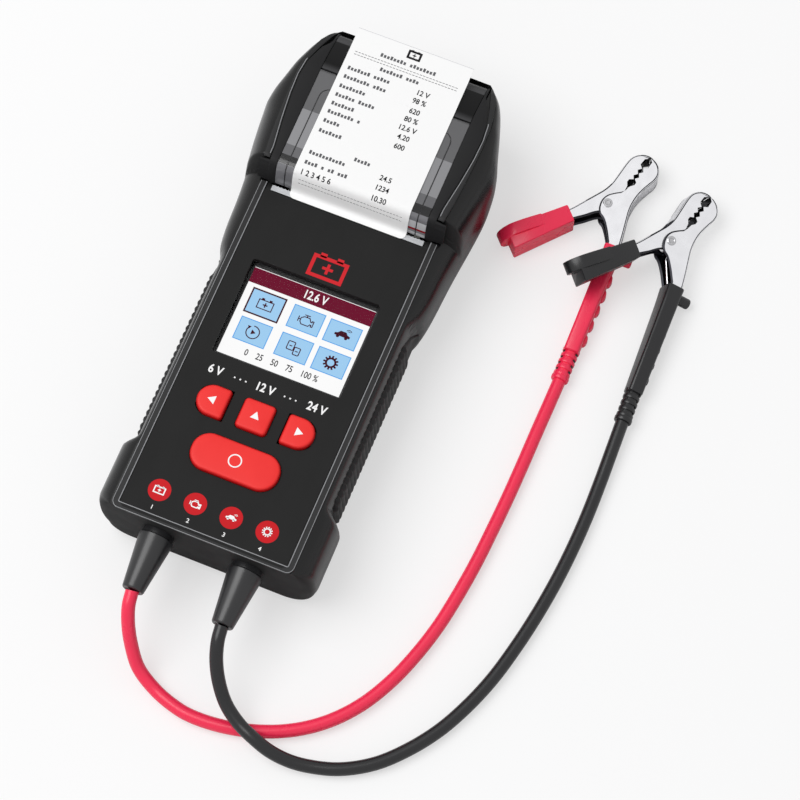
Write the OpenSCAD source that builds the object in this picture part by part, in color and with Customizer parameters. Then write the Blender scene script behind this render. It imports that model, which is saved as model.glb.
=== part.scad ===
// Handheld 12/24 V battery tester with a built-in 58 mm thermal printer.
// Lies on its back: X across, Y from the lead end to the printer end, Z out of the face.
// Origin at the middle of the footprint of the housing, on the surface it lies on.

/* [Housing] */
// Height of the keypad face above the table
face_z = 46; // [44:0.5:48]
// Height of the printer lid above the table
head_z = 60; // [58:0.5:62]
// Wall thickness of both half shells
wall = 2.2; // [1.8:0.1:2.6]
// Width of the matt face plate
plate_w = 80; // [79:0.5:81]
// Thickness of the face plate
plate_t = 1.2; // [1:0.1:1.4]

/* [Screen] */
// Width of the lit area of the colour display
lcd_w = 59.4; // [57:0.2:60]
// Height of the lit area of the colour display
lcd_h = 44.6; // [43:0.2:45]
// Depth of the display surface below the face
lcd_sink = 4.4; // [4.3:0.1:4.6]

/* [Keys] */
// Side of the arrow keys
key_s = 15; // [14:0.5:16]
// Length of the long enter key
enter_w = 42; // [40:0.5:44]
// Width of the long enter key
enter_h = 18; // [17:0.5:19]
// Height of the key tops above the face
key_rise = 2.2; // [1.5:0.1:2.6]
// Travel of every key
key_travel = 0.6; // [0.4:0.1:0.7]
// Diameter of the four round function marks
mark_d = 10.4; // [9:0.2:11]

/* [Printer] */
// Width of the thermal paper
paper_w = 57; // [55:0.5:58]
// Outer diameter of the paper roll
roll_d = 30; // [26:1:31]
// Diameter of the platen roller
platen_d = 8; // [7:0.5:8]
// Half width of the lid window between the lid arms
strip_hw = 36.9; // [36.5:0.1:37.2]

/* [Leads] */
// Outer diameter of the test leads
lead_d = 6.2; // [5.6:0.1:6.4]
// Distance of each lead boot from the centre line
boot_x = 21.5; // [20:0.5:23]
// Height of the boot axes above the table
boot_z = 29; // [28:0.5:30]
// Wide and narrow diameters of the boots
boot_d = [17, 10.2]; // [8:0.1:18]

/* [Clamps] */
// Height of the jaw channel with its rivet and sleeves
jaw_h = 13; // [12.8:0.1:13.2]
// Sheet thickness of the jaws
jaw_t = 0.9; // [0.8:0.1:1]
// Tilt of the upper clamp, which rests on the lower one
upper_tilt = 21.4; // [21.4:0.1:22]
// Turn of the upper clamp on the table
upper_turn = 2; // [1.5:0.5:2.5]

/* [Hidden] */
$fn = 48;
gap = 0.3;                 // clearance between pieces that move past each other

// ---- rails of the housing: [y, value], symmetric about x = 0 ----
end_y = [-125, 126];       // lead end and printer end
deck = face_z - plate_t;   // shell roof under the face plate
lid_t = 1.5;               // thickness of the printer lid
roof = head_z - lid_t - gap;
block_hw = 52.6;           // half width at the lead end
waist_hw = 47;             // half width under the grips
bulge_hw = 56.8;           // half width at the printer bulge
top_hw = [[-130, 43.4], [46, 43.4], [50, 44], [60, 45.2], [73, 46], [90, 46.7], [101, 46.6],
    [109, 45.2], [116, 43.4], [121, 40.8], [124, 38.8], [126, 37]];
top_z = [[-130, deck], [46.8, deck], [49.2, deck + 8], [52, roof], [100, roof],
    [108, roof - 1.4], [116, roof - 3.6], [126, roof - 7.5]];
ridge_hw = [[-130, block_hw], [-95, block_hw], [-89, waist_hw], [2, waist_hw], [12, 50.6],
    [22, 51.9], [33, 52.5], [43, 53.3], [53, 54.4], [63, 55.7], [73, 56.6], [80, bulge_hw],
    [86, 55.8], [93, 53.5], [103, 50.4], [113, 46.9], [118, 44.7], [123, 42.4], [126, 40.5]];
ridge_z = [[-130, 26], [40, 27], [60, 29], [73, 32], [83, 39], [93, 45], [103, 47], [113, 46],
    [120, 43.5], [126, 40]];
low_hw = [[-130, 50.4], [-95, 50.2], [-89, 45.4], [2, 45.4], [12, 48], [43, 50.4], [60, 52],
    [73, 52.8], [83, 51.5], [93, 48.6], [103, 45], [113, 41], [120, 38], [126, 34]];
stations = [-125, -124.4, -122.6, -119, -112, -95, -92, -89, -70, -40, 2, 7, 12, 22, 33, 43,
    46.8, 49.2, 52, 60, 66, 73, 80, 86, 93, 98, 103, 108, 113, 118, 121, 124, 125.3, 126];
corner_r = [7, 9];         // plan radius of the corners at the two ends
foot_r = [9, 14];          // radius between each end wall and the flat back
slot_y = 44.3;             // front edge of the printer opening
bay_hw = 38.4;             // half width of the printer opening
hinge = [118.5, 49.5];     // lid hinge axis, [y, z]
platen = [51.2, 39.5];     // platen axis with the lid closed, [y, z]
roll_at = [77, 30.2];      // axis of the paper roll, [y, z]
tub_at = [77, 31.7];       // axis of the round paper tub, [y, z]
idler = [49.2, 28.2];      // axis of the idler gear, [y, z]
motor = [41, 24.6];        // axis of the paper feed motor, [y, z]
tooth = 0.5;               // module of the feed gears
teeth = [20, 26, 10];      // platen gear, idler, pinion
board_z = 34.4;            // underside of the main board
board_t = 1.6;
marks = [-25.8, -8.6, 8.6, 25.8];
mark_y = -111.4;
enter_y = -87;
arrow_y = -64;
screen_at = [0, -17.4];
post_at = [[38, -106], [38, 20], [41.5, 104]];

function fillet(r, d) = d >= r ? 0 : r - sqrt(max(0, r * r - (r - d) * (r - d)));
function end_cut(y, r) = fillet(r[0], y - end_y[0]) + fillet(r[1], end_y[1] - y);
function reversed(v) = [for (i = [len(v) - 1:-1:0]) v[i]];
// right half of the upper outline, from the ridge up to the roof edge
function upper_half(y, w) =
    let (a = lookup(y, top_hw) - w, z0 = lookup(y, ridge_z),
        h = min(lookup(y, top_z), lookup(y - 1.4 * w, top_z)) - w - z0,
        b = max(lookup(y, ridge_hw) - w - end_cut(y, corner_r) * 0.9, a - 4))
    [for (t = [90:-15:0]) [a + (b - a) * pow(sin(t), 1.2), z0 + h * pow(cos(t), 0.8)]];
// right half of the lower outline, from the ridge down to the flat back
function lower_half(y, w) =
    let (a = max(lookup(y, ridge_hw) - w - end_cut(y, corner_r) * 0.9,
            lookup(y, top_hw) - w - 4),
        b = lookup(y, low_hw) - w - end_cut(y, corner_r) * 1.1, z0 = lookup(y, ridge_z),
        f = end_cut(y, foot_r) * 0.9 + w, r = min(8, (z0 - f) * 0.4))
    concat([[a, z0], [(a + b) / 2 + 0.8, (z0 + f + r) / 2]],
        [for (t = [0:22.5:90]) [b - r + r * cos(t), f + r - r * sin(t)]]);
function upper_row(y, w, at) =
    let (h = upper_half(y, w))
    concat([for (p = h) [p[0], at, p[1]]], [for (p = reversed(h)) [-p[0], at, p[1]]]);
function lower_row(y, w, at) =
    let (h = lower_half(y, w))
    concat([for (p = h) [-p[0], at, p[1]]], [for (p = reversed(h)) [p[0], at, p[1]]]);
function squeeze(y, w) = end_y[0] + w + (y - end_y[0]) * (end_y[1] - end_y[0] - 2 * w)
    / (end_y[1] - end_y[0]);

// closed skin between an outer and an inner set of rows, open along the parting line
module skin(rows) {
    n = len(rows) / 2;
    m = len(rows[0]);
    o = n * m;
    e = (n - 1) * m;
    polyhedron([for (r = rows) each r], concat(
        [for (i = [0:n - 2], j = [0:m - 2], s = [0, 1])
            let (a = i * m + j + s * o, b = a + m)
            each s == 0 ? [[a, a + 1, b + 1], [a, b + 1, b]]
                : [[a, b + 1, a + 1], [a, b, b + 1]]],
        [for (i = [0:n - 2]) let (a = i * m, b = a + m, c = a + m - 1, d = b + m - 1)
            each [[a, b, o + b], [a, o + b, o + a], [c, o + d, d], [c, o + c, o + d]]],
        [for (j = [1:m - 2]) each [[0, j + 1, j], [o, o + j, o + j + 1],
            [e, e + j, e + j + 1], [o + e, o + e + j + 1, o + e + j]]],
        [[0, o, o + m - 1], [0, o + m - 1, m - 1],
            [e, e + m - 1, o + e + m - 1], [e, o + e + m - 1, o + e]]));
}
// flat polygon given as [y, z], drawn out from x0 to x1
module along_x(x0, x1) {
    translate([x0, 0, 0]) rotate([90, 0, 90]) linear_extrude(x1 - x0) children();
}
module rounded(w, h, r) {
    x = w / 2 - r;
    y = h / 2 - r;
    polygon([for (q = [[x, y, 0], [-x, y, 90], [-x, -y, 180], [x, -y, 270]], t = [0:15:90])
        [q[0] + r * cos(q[2] + t), q[1] + r * sin(q[2] + t)]]);
}
module bar_x(x0, x1, at, d) {
    translate([x0, at[0], at[1]]) rotate([0, 90, 0]) cylinder(h = x1 - x0, d = d);
}
module both_sides() {
    children();
    mirror([1, 0, 0]) children();
}

// ---- housing ----
module front_shell() color([0.06, 0.06, 0.065]) difference() {
    union() {
        skin(concat([for (y = stations) upper_row(y, 0, y)],
            [for (y = stations) upper_row(y, wall, squeeze(y, wall))]));
        both_sides() for (p = post_at)
            translate([p[0], p[1], p[1] > 50 ? 44 : 34.2])
                cylinder(h = p[1] > 50 ? roof - 45 : deck - 35.2, d = 6.4);
    }
    both_sides() for (p = post_at)
        translate([p[0], p[1], 20]) cylinder(h = p[1] > 50 ? 32 : 21, d = 2.6);
    translate([0, screen_at[1], 40]) linear_extrude(10) rounded(lcd_w + 3, lcd_h + 4, 1.5);
    key_holes(0.35, 40, 50);
    for (x = marks) translate([x, mark_y, 40]) cylinder(h = 10, d = mark_d - 3);
    translate([-bay_hw, slot_y, 40.5]) cube([2 * bay_hw, hinge[0] - slot_y, 30]);
    translate([-bay_hw, hinge[0] - 1, 46.7]) cube([2 * bay_hw, 20, 20]);
    bar_x(-bay_hw, bay_hw, hinge, 13.6);
    both_sides() translate([54.5, 46.8, 54]) sphere(d = 21);
    both_sides() translate([boot_x, -110, boot_z]) rotate([90, 0, 0])
        cylinder(h = 30, d = 9.2);
    both_sides() bar_x(30, 40, hinge, 3);
}
module back_shell() color([0.05, 0.05, 0.055]) difference() {
    union() {
        skin(concat([for (y = stations) lower_row(y, 0, y)],
            [for (y = stations) lower_row(y, wall, squeeze(y, wall))]));
        both_sides() for (p = post_at)
            translate([p[0], p[1], 1]) cylinder(h = p[1] > 50 ? 42.7 : 32.9, d = 7.4);
        both_sides() for (y = [-100, 0])
            translate([28, y, 1]) cylinder(h = board_z - 1, d = 5);
        both_sides() for (y = [38, 56])
            translate([24, y, 1]) cylinder(h = 11, d = 6);
        both_sides() translate([18, 72, 1]) cube([4, 10, 11]);
    }
    both_sides() for (p = post_at) {
        translate([p[0], p[1], -1]) cylinder(h = 7, d = 6.2);
        translate([p[0], p[1], -1]) cylinder(h = 50, d = 3.4);
    }
    both_sides() translate([boot_x, -110, boot_z]) rotate([90, 0, 0])
        cylinder(h = 30, d = 9.2);
}
module shell_screws() color([0.6, 0.61, 0.63]) both_sides() for (p = post_at) {
    translate([p[0], p[1], 3.2]) cylinder(h = 2.8, d = 5.8);
    translate([p[0], p[1], 5.9]) cylinder(h = p[1] > 50 ? 44 : 33, d = 2.6);
}
// plan of the front trim, outer edge
face_edge = [[43.4, 44.4], [43.4, -122], [42.2, -124.8], [39.6, -126]];
module ring_plan(side, inner) {
    polygon(concat(side, [for (p = reversed(side)) [-p[0], p[1]]],
        [for (p = inner) [-p[0], p[1]]], reversed(inner)));
}
module face_plate() color([0.03, 0.03, 0.03]) difference() {
    translate([0, 0, deck]) linear_extrude(plate_t)
        polygon([[-plate_w / 2, 40.6], [-plate_w / 2, -122.6], [-plate_w / 2 + 2, -124.4],
            [plate_w / 2 - 2, -124.4], [plate_w / 2, -122.6], [plate_w / 2, 40.6]]);
    translate([0, screen_at[1], 40]) linear_extrude(10) rounded(lcd_w + 3, lcd_h + 4, 1.5);
    key_holes(0.3, 40, 50);
    for (x = marks) translate([x, mark_y, 40]) cylinder(h = 10, d = mark_d + 0.1);
}
module face_trim() color([0.25, 0.25, 0.26])
    translate([0, 0, deck]) linear_extrude(plate_t)
        ring_plan(face_edge, [[plate_w / 2 + 0.2, 44.4], [plate_w / 2 + 0.2, -122.8],
            [plate_w / 2 - 1.9, -124.6]]);

// ---- screen, board, keys ----
module screen_window() color([0.6, 0.65, 0.7, 0.35])
    translate([0, screen_at[1], face_z - plate_t - wall - 0.8]) linear_extrude(0.8)
        rounded(lcd_w + 9, lcd_h + 9, 2);
module lcd_module() color([0.2, 0.3, 0.6]) {
    translate([-lcd_w / 2 - 2, screen_at[1] - lcd_h / 2 - 3.5, face_z - lcd_sink - 1.7])
        cube([lcd_w + 4, lcd_h + 6, 1.7]);
    translate([-10, screen_at[1] + lcd_h / 2 + 2.4, board_z + board_t])
        cube([20, 0.3, face_z - lcd_sink - 0.1 - board_z - board_t]);
}
module lcd_frame() color([0.85, 0.85, 0.82]) difference() {
    translate([-lcd_w / 2 - 3.6, screen_at[1] - lcd_h / 2 - 4.6, board_z + board_t])
        cube([lcd_w + 7.2, lcd_h + 8.4, face_z - lcd_sink - 0.1 - board_z - board_t]);
    translate([-lcd_w / 2 - 2.1, screen_at[1] - lcd_h / 2 - 3.6, face_z - lcd_sink - 1.7])
        cube([lcd_w + 4.2, lcd_h + 6.4, 10]);
    translate([-lcd_w / 2, screen_at[1] - lcd_h / 2, board_z])
        cube([lcd_w, lcd_h, 20]);
    translate([-11, screen_at[1] + lcd_h / 2 + 2, board_z]) cube([22, 1, 20]);
}
module main_board() color([0.05, 0.3, 0.15]) {
    difference() {
        translate([-33, -114, board_z]) cube([66, 126, board_t]);
        both_sides() for (y = [-100, 0])
            translate([28, y, board_z - 1]) cylinder(h = 5, d = 2.6);
    }
    translate([-8, -30, board_z - 2]) cube([16, 16, 2.1]);
    translate([-22, -58, board_z - 1.6]) cube([12, 8, 1.7]);
    translate([8, 4, board_z - 6]) cube([20, 6, 6.1]);
    both_sides() translate([boot_x - 4, -113, board_z - 7]) cube([8, 6, 7.1]);
}
module key_plan(kind, grow) {
    if (kind == "up") {
        translate([0, arrow_y]) rounded(key_s + 2 * grow, key_s + 2 * grow, 2 + grow);
    }
    if (kind == "side") {
        translate([21, arrow_y]) intersection() {
            union() {
                circle(d = key_s + 2 * grow);
                translate([-key_s / 2 - grow, -key_s / 2 - grow])
                    square([key_s / 2 + grow, key_s + 2 * grow]);
            }
            translate([-0.5, 0]) square([key_s - 1 + 2 * grow, key_s + 2 * grow],
                center = true);
        }
    }
    if (kind == "enter") {
        translate([0, enter_y]) rounded(enter_w + 2 * grow, enter_h + 2 * grow,
            enter_h / 2 - 0.6 + grow);
    }
}
module key_holes(grow, z0, z1) {
    translate([0, 0, z0]) linear_extrude(z1 - z0) {
        key_plan("up", grow);
        key_plan("side", grow);
        mirror([1, 0]) key_plan("side", grow);
        key_plan("enter", grow);
    }
}
stem_z = 40.3;              // lower end of the key stems
// cap with a stepped crown, a foot under the shell roof and a stem
module key_cap(kind, mid) color([0.85, 0.12, 0.14]) {
    translate([0, 0, 41.2]) linear_extrude(face_z + key_rise - 42) key_plan(kind, 0);
    translate([0, 0, face_z + key_rise - 0.85]) linear_extrude(0.45) key_plan(kind, -0.35);
    translate([0, 0, face_z + key_rise - 0.45]) linear_extrude(0.45) key_plan(kind, -1.1);
    translate([0, 0, 41.2]) linear_extrude(1.1) key_plan(kind, 1);
    translate([mid[0], mid[1], stem_z]) cylinder(h = 1, d = 3);
}
module key_left() mirror([1, 0, 0]) key_cap("side", [21, arrow_y]);
module key_up() key_cap("up", [0, arrow_y]);
module key_right() key_cap("side", [21, arrow_y]);
module key_enter() key_cap("enter", [0, enter_y]);
module key_switches() color([0.15, 0.15, 0.16])
    for (p = [[-21, arrow_y], [0, arrow_y], [21, arrow_y], [0, enter_y]]) {
        translate([p[0] - 3, p[1] - 3, board_z + board_t]) cube([6, 6, 2.6]);
        translate([p[0], p[1], board_z + board_t + 2.5])
            cylinder(h = stem_z - key_travel - gap - board_z - board_t - 2.5, d = 3.2);
    }
module mark_lenses() color([0.75, 0.1, 0.12]) for (x = marks) {
    translate([x, mark_y, deck]) cylinder(h = plate_t, d = mark_d);
    translate([x, mark_y, deck - 4]) cylinder(h = 4.1, d = mark_d - 3.2);
}
module mark_leds() color([0.9, 0.9, 0.8]) for (x = marks)
    translate([x - 1.6, mark_y - 1.4, board_z + board_t]) cube([3.2, 2.8, 1.9]);
module buzzer() color([0.04, 0.04, 0.04])
    translate([20, -36, board_z - 6]) difference() {
        cylinder(h = 6, d = 12);
        translate([0, 0, -1]) cylinder(h = 2.5, d = 2);
    }

// ---- grips ----
rib_y = [for (i = [0:20]) -86 + i * 4.1];
grip_z = 24;                // middle height of the grips
grip_h = 30;                // height that the grips' shares refer to
// share of the height that the grip takes at a station, narrow at both ends
function grip_span(y) = y < -84 ? 0.55 + 0.3 * (y + 88) / 4
    : y > -4 ? max(0.12, 0.85 - 0.73 * (y + 4) / 12) : 0.85;
// shares of the grip's height at which it bends with the wall, from low to high
grip_k = [0, 0.226, 0.578, 0.829, 1];
// outer face of the side wall at a station and a height
function wall_x(y, z) = lookup(z, [for (p = concat(reversed(lower_half(y, 0)),
    upper_half(y, 0))) [p[1], p[0]]]);
// point of the side wall pushed out by h
function grip_point(y, k, h) =
    let (z = grip_z + (k - 0.5) * grip_span(y) * grip_h) [wall_x(y, z) + h, y, z];
grip_rows = concat([[-88, 0.9]], [for (y = rib_y, s = [[-1.3, 1], [-0.8, 1.9], [0.8, 1.9],
    [1.3, 1]]) [y + s[0], s[1]]], [[1, 1.5], [4.5, 1.5], [8, 0.9]]);
module grip() color([0.03, 0.03, 0.03]) {
    n = len(grip_rows);
    m = len(grip_k);
    o = n * m;
    e = (n - 1) * m;
    polyhedron(concat(
        [for (r = grip_rows, j = [0:m - 1]) grip_point(r[0], grip_k[j],
            j == 0 || j == m - 1 ? 0.6 : r[1])],
        [for (r = grip_rows, k = grip_k) grip_point(r[0], k, 0.12)]), concat(
        [for (i = [0:n - 2], j = [0:m - 2], s = [0, 1])
            let (a = i * m + j + s * o, b = a + m)
            each s == 0 ? [[a, a + 1, b + 1], [a, b + 1, b]]
                : [[a, b + 1, a + 1], [a, b, b + 1]]],
        [for (i = [0:n - 2]) let (a = i * m, b = a + m, c = a + m - 1, d = b + m - 1)
            each [[a, b, o + b], [a, o + b, o + a], [c, o + d, d], [c, o + c, o + d]]],
        [for (j = [0:m - 2]) each [[j, o + j, o + j + 1], [j, o + j + 1, j + 1],
            [e + j, e + j + 1, e + o + j + 1], [e + j, e + o + j + 1, e + o + j]]]));
}
module right_grip() grip();
module left_grip() mirror([1, 0, 0]) grip();

// ---- printer lid ----
// outer line of the lid from the lip over the top to the hinge end, [y, z]
lid_line = [[44.8, 46.5], [45.2, 49.5], [46, 53], [47.1, 56.4], [48.4, 58.7], [50, 59.75],
    [51.5, head_z], [99, head_z], [104, head_z - 0.4], [108, head_z - 1.2],
    [114, head_z - 2.9], [120, head_z - 4.9], [122.6, head_z - 6.6], [124.3, head_z - 9],
    [124.6, head_z - 12]];
inner_line = [[46.3, 46.5], [46.7, 49.3], [47.5, 52.6], [48.5, 55.7], [49.6, 57.5],
    [50.7, 58.2], [51.7, head_z - lid_t], [98.9, head_z - lid_t], [103.8, head_z - 1.9],
    [107.6, head_z - 2.6], [113.6, head_z - 4.3], [119.4, head_z - 6.3],
    [121.6, head_z - 7.6], [122.9, head_z - 9.5], [123.1, head_z - 12]];
lid_side = [[40.4, 44.8], [45.7, 45.2], [45.7, 49], [40.7, 49.4], [41, 56], [43, 70],
    [44.5, 84], [45, 94], [44.2, 102], [41.2, 112], [38.2, 116.4], [37.6, 124.7]];
module lid_sheet(y0, y1) {
    intersection() {
        along_x(-50, 50) polygon(concat(lid_line, reversed(inner_line)));
        translate([-50, y0, 0]) cube([100, y1 - y0, 80]);
    }
}
module lid_frame_blank() {
    difference() {
        intersection() {
            lid_sheet(44, 130);
            translate([0, 0, 40]) linear_extrude(30)
                ring_plan(lid_side, [[strip_hw + 0.1, 44.8], [strip_hw + 0.1, 124.7]]);
        }
        both_sides() translate([45, 46.8, 40]) cube([2, 0.4, 12]);
    }
    both_sides() {
        translate([34.6, 56, head_z - lid_t - 1.6]) cube([3.4, 44, 1.6]);
        translate([strip_hw + 0.1, 50.6, head_z - lid_t - 1.6]) cube([1, 49.4, 1.7]);
        along_x(34.6, 36.8) polygon([[52.8, 58.4], [49.4, 41], [48.6, 38], [50, 36.4],
            [52.6, 36.4], [54, 38], [54.2, 41], [60, 56], [60, 58.4]]);
        along_x(34.6, 38) polygon([[100, 58.5], [100, 56.9], [114, 53.9], [115.1, 50.8],
            [115.1, 48.4], [117.2, 46.2], [120, 46.2], [121.6, 48.4], [121.6, 52],
            [119.4, head_z - 6.4], [113.6, head_z - 4.4], [107.6, head_z - 2.7],
            [103.8, head_z - 2], [101, 58.5]]);
    }
    translate([-35, 96, head_z - lid_t - 1.6]) cube([70, 3, 1.6]);
}
module lid_frame() color([0.04, 0.04, 0.04]) difference() {
    lid_frame_blank();
    bar_x(-40, 40, platen, 3.1);
    bar_x(-40, 40, hinge, 3.2);
}
module lid_window() color([0.2, 0.2, 0.21, 0.6]) difference() {
    intersection() {
        lid_sheet(44, 100.3);
        translate([-strip_hw, 40, 40]) cube([2 * strip_hw, 90, 30]);
    }
    both_sides() translate([31.4, 40, 40]) cube([3, 6, 7.6]);
}
module lid_cap() color([0.02, 0.02, 0.02]) intersection() {
    lid_sheet(100.6, 130);
    translate([-strip_hw, 40, 40]) cube([2 * strip_hw, 90, 30]);
}
module lid_pin() color([0.7, 0.71, 0.73]) bar_x(-39.5, 39.5, hinge, 3);
trim_side = [[43.4, 50], [44, 50.4], [45.2, 60], [46, 73], [46.7, 90], [46.6, 101],
    [45.2, 109], [43.4, 116], [40.8, 121], [38.9, 124]];
trim_inner = [[41.2, 50], [41.3, 56], [43.3, 70], [44.8, 84], [45.3, 94], [44.5, 102],
    [41.9, 112], [39.7, 119], [38.3, 123.4]];
module head_trim() color([0.3, 0.3, 0.31]) intersection() {
    along_x(-50, 50) polygon(concat([[49.9, roof], [49.9, head_z]],
        [for (p = lid_line) if (p[0] > 60 && p[0] < 123) p], [[124.2, head_z - 8.4]],
        [[124.2, roof - 6.75]],
        [for (p = reversed(top_z)) if (p[0] > 99 && p[0] < 124) p], [[60, roof]]));
    translate([0, 0, 40]) linear_extrude(30) both_halves(concat(trim_side,
        reversed(trim_inner)));
}
module both_halves(p) {
    polygon(p);
    mirror([1, 0]) polygon(p);
}

// ---- printer ----
module gear(n) {
    r = n * tooth / 2;
    polygon([for (i = [0:n - 1], q = [[-0.3, -1.2], [-0.16, 0.85], [0.16, 0.85], [0.3, -1.2]])
        (r + q[1] * tooth) * [cos(360 * (i + q[0]) / n), sin(360 * (i + q[0]) / n)]]);
}
module gear_x(x0, x1, at, n, turn, bore) {
    translate([0, at[0], at[1]]) along_x(x0, x1) difference() {
        rotate(turn) gear(n);
        circle(d = bore);
    }
}
function heading(a, b) = atan2(b[1] - a[1], b[0] - a[0]);
// turn that puts a gap of gear b opposite a tooth of gear a
function mesh_turn(a, na, ta, b, nb) =
    let (h = heading(a, b), phase = (h - ta) * na / 360)
    h + 180 + (phase - floor(phase) + 0.5) * 360 / nb;
idler_turn = mesh_turn(platen, teeth[0], 0, idler, teeth[1]);
pinion_turn = mesh_turn(idler, teeth[1], idler_turn, motor, teeth[2]);
module platen_roller() color([0.08, 0.08, 0.08]) difference() {
    bar_x(-29, 29, platen, platen_d);
    bar_x(-30, 30, platen, 3);
}
module platen_shaft() color([0.75, 0.76, 0.78]) bar_x(-37.6, 37.6, platen, 3);
module platen_gear() color([0.9, 0.9, 0.86]) gear_x(31.2, 34, platen, teeth[0], 0, 3);
module idler_gear() color([0.9, 0.9, 0.86])
    gear_x(31.2, 34, idler, teeth[1], idler_turn, 2.56);
module motor_pinion() color([0.8, 0.65, 0.3]) {
    gear_x(31.2, 34, motor, teeth[2], pinion_turn, 1.2);
    bar_x(18, 34.3, motor, 1.46);
}
module feed_motor() color([0.55, 0.56, 0.58]) difference() {
    union() {
        bar_x(14, 29.1, motor, 14);
        bar_x(11, 14.1, motor, 6);
    }
    bar_x(17.9, 30, motor, 1.52);
}
module print_head() color([0.75, 0.72, 0.66]) {
    r = platen_d / 2 + 0.7;
    translate([0, platen[0], platen[1]]) along_x(-27, 27) rotate(30) {
        translate([-r - 1, -3]) square([1, 6.4]);
        translate([-r - 4.6, -5]) square([3.7, 8]);
    }
}
module printer_chassis() color([0.55, 0.56, 0.58]) difference() {
    union() {
        both_sides() along_x(29.2, 30.7) polygon([[33, 12], [60, 12], [60, 34], [54.6, 36],
            [54.6, 43.6], [53.3, 43.6], [53.3, 37.4], [48.6, 37.4], [48.6, 42.2],
            [33, 42.2]]);
        translate([-30, 33, 12]) cube([60, 27, 1.2]);
        bar_x(30.6, 35, idler, 2.5);
        both_sides() bar_x(26.9, 29.3, [43.2, 35.2], 2.6);
    }
    bar_x(-40, 28, motor, 15);
    bar_x(29, 31.1, motor, 4);
}
function arc_at(c, r, a0, a1, n) = [for (i = [0:n])
    let (a = a0 + (a1 - a0) * i / n) c + r * [cos(a), sin(a)]];
module paper_tub() color([0.12, 0.12, 0.13]) {
    along_x(-30.7, 30.7) polygon(concat(arc_at(tub_at, 18.7, -125, 4, 16),
        arc_at(tub_at, 17, 4, -125, 16)));
    both_sides() along_x(29.2, 30.7) polygon(concat(arc_at(tub_at, 18.9, -127, 6, 12),
        [[95.8, 44], [60.5, 44], [60.5, 23]]));
    both_sides() translate([17.9, 72, 12]) cube([4.2, 10, 2]);
}
module paper_roll() color([0.93, 0.93, 0.92]) difference() {
    bar_x(-paper_w / 2, paper_w / 2, roll_at, roll_d);
    bar_x(-40, 40, roll_at, 18);
}
module paper_core() color([0.75, 0.68, 0.55]) difference() {
    bar_x(-paper_w / 2, paper_w / 2, roll_at, 18);
    bar_x(-40, 40, roll_at, 12);
}
// thin sheet following a line of [y, z] points
module sheet(line, t) {
    n = len(line);
    function side(i) =
        let (a = line[max(i - 1, 0)], b = line[min(i + 1, n - 1)], d = (b - a) / norm(b - a))
        [-d[1], d[0]] * t / 2;
    along_x(-paper_w / 2, paper_w / 2) polygon(concat([for (i = [0:n - 1]) line[i] + side(i)],
        [for (i = [n - 1:-1:0]) line[i] - side(i)]));
}
web_line = [[66.1, 18.6], [48.12, 36.42], [47.75, 36.85], [47.43, 37.33], [44.7, 42.1],
    [44.52, 42.9], [44.5, 46.5]];
receipt_line = [[40.6, 46.4], [42.4, 46.4], [43.5, 46.75], [44.2, 47.7], [44.84, 49.9],
    [45.64, 53.3], [46.8, 56.75], [48.2, 59.1], [49.9, 60.15], [52, 60.4], [80, 60.45],
    [110, 60.6], [126, 60.9]];
module paper_web() color([0.93, 0.93, 0.92]) sheet(web_line, 0.12);
module receipt() color([0.95, 0.95, 0.94]) sheet(receipt_line, 0.12);
module tear_bar() color([0.6, 0.61, 0.62]) translate([0, 0, deck]) {
    translate([-37.4, 40.9, 0]) cube([74.8, 2.6, 1.4]);
    linear_extrude(0.5) polygon(concat([[37.4, 43.4], [-37.4, 43.4]],
        [for (i = [0:43]) each [[-37.4 + i * 1.7, 43.5], [-36.55 + i * 1.7, 44.2]]],
        [[37.4, 43.5]]));
}

// ---- leads ----
// smooth cone with a collar at the wall, a neck through it and a flange inside
module boot(s) translate([s * boot_x, -125, boot_z]) rotate([90, 0, 0]) {
    rotate_extrude() polygon([[0, 0], [boot_d[0] / 2 - 0.4, 0], [boot_d[0] / 2, 0.4],
        [boot_d[0] / 2, 3], [boot_d[0] / 2 - 0.7, 3.5], [boot_d[0] / 2 - 0.4, 4.3],
        [boot_d[1] / 2, 28.2], [boot_d[1] / 2 - 0.3, 28.8], [boot_d[1] / 2 - 0.9, 29],
        [0, 29]]);
    translate([0, 0, -wall - 0.2]) cylinder(h = wall + 0.3, d = 9);
    translate([0, 0, -wall - 2.2]) cylinder(h = 2, d = 13);
}
module left_boot() color([0.05, 0.05, 0.05]) boot(-1);
module right_boot() color([0.05, 0.05, 0.05]) boot(1);

// round tube through a line of [x, y, z] points
tube_n = 10;
module tube(points, d) {
    n = len(points);
    last = n * tube_n;
    function ring(i) =
        let (t = points[min(i + 1, n - 1)] - points[max(i - 1, 0)],
            s = cross(t, [0, 0, 1]) / norm(cross(t, [0, 0, 1])), u = cross(s, t / norm(t)))
        [for (k = [0:tube_n - 1]) points[i]
            + d / 2 * (cos(360 * k / tube_n) * s + sin(360 * k / tube_n) * u)];
    polyhedron(concat([for (i = [0:n - 1]) each ring(i)], [points[0], points[n - 1]]), concat(
        [for (i = [0:n - 2], k = [0:tube_n - 1])
            let (a = i * tube_n + k, b = i * tube_n + (k + 1) % tube_n)
            each [[a, b, b + tube_n], [a, b + tube_n, a + tube_n]]],
        [for (k = [0:tube_n - 1]) [last, (k + 1) % tube_n, k]],
        [for (k = [0:tube_n - 1])
            [last + 1, last - tube_n + k, last - tube_n + (k + 1) % tube_n]]));
}
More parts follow.
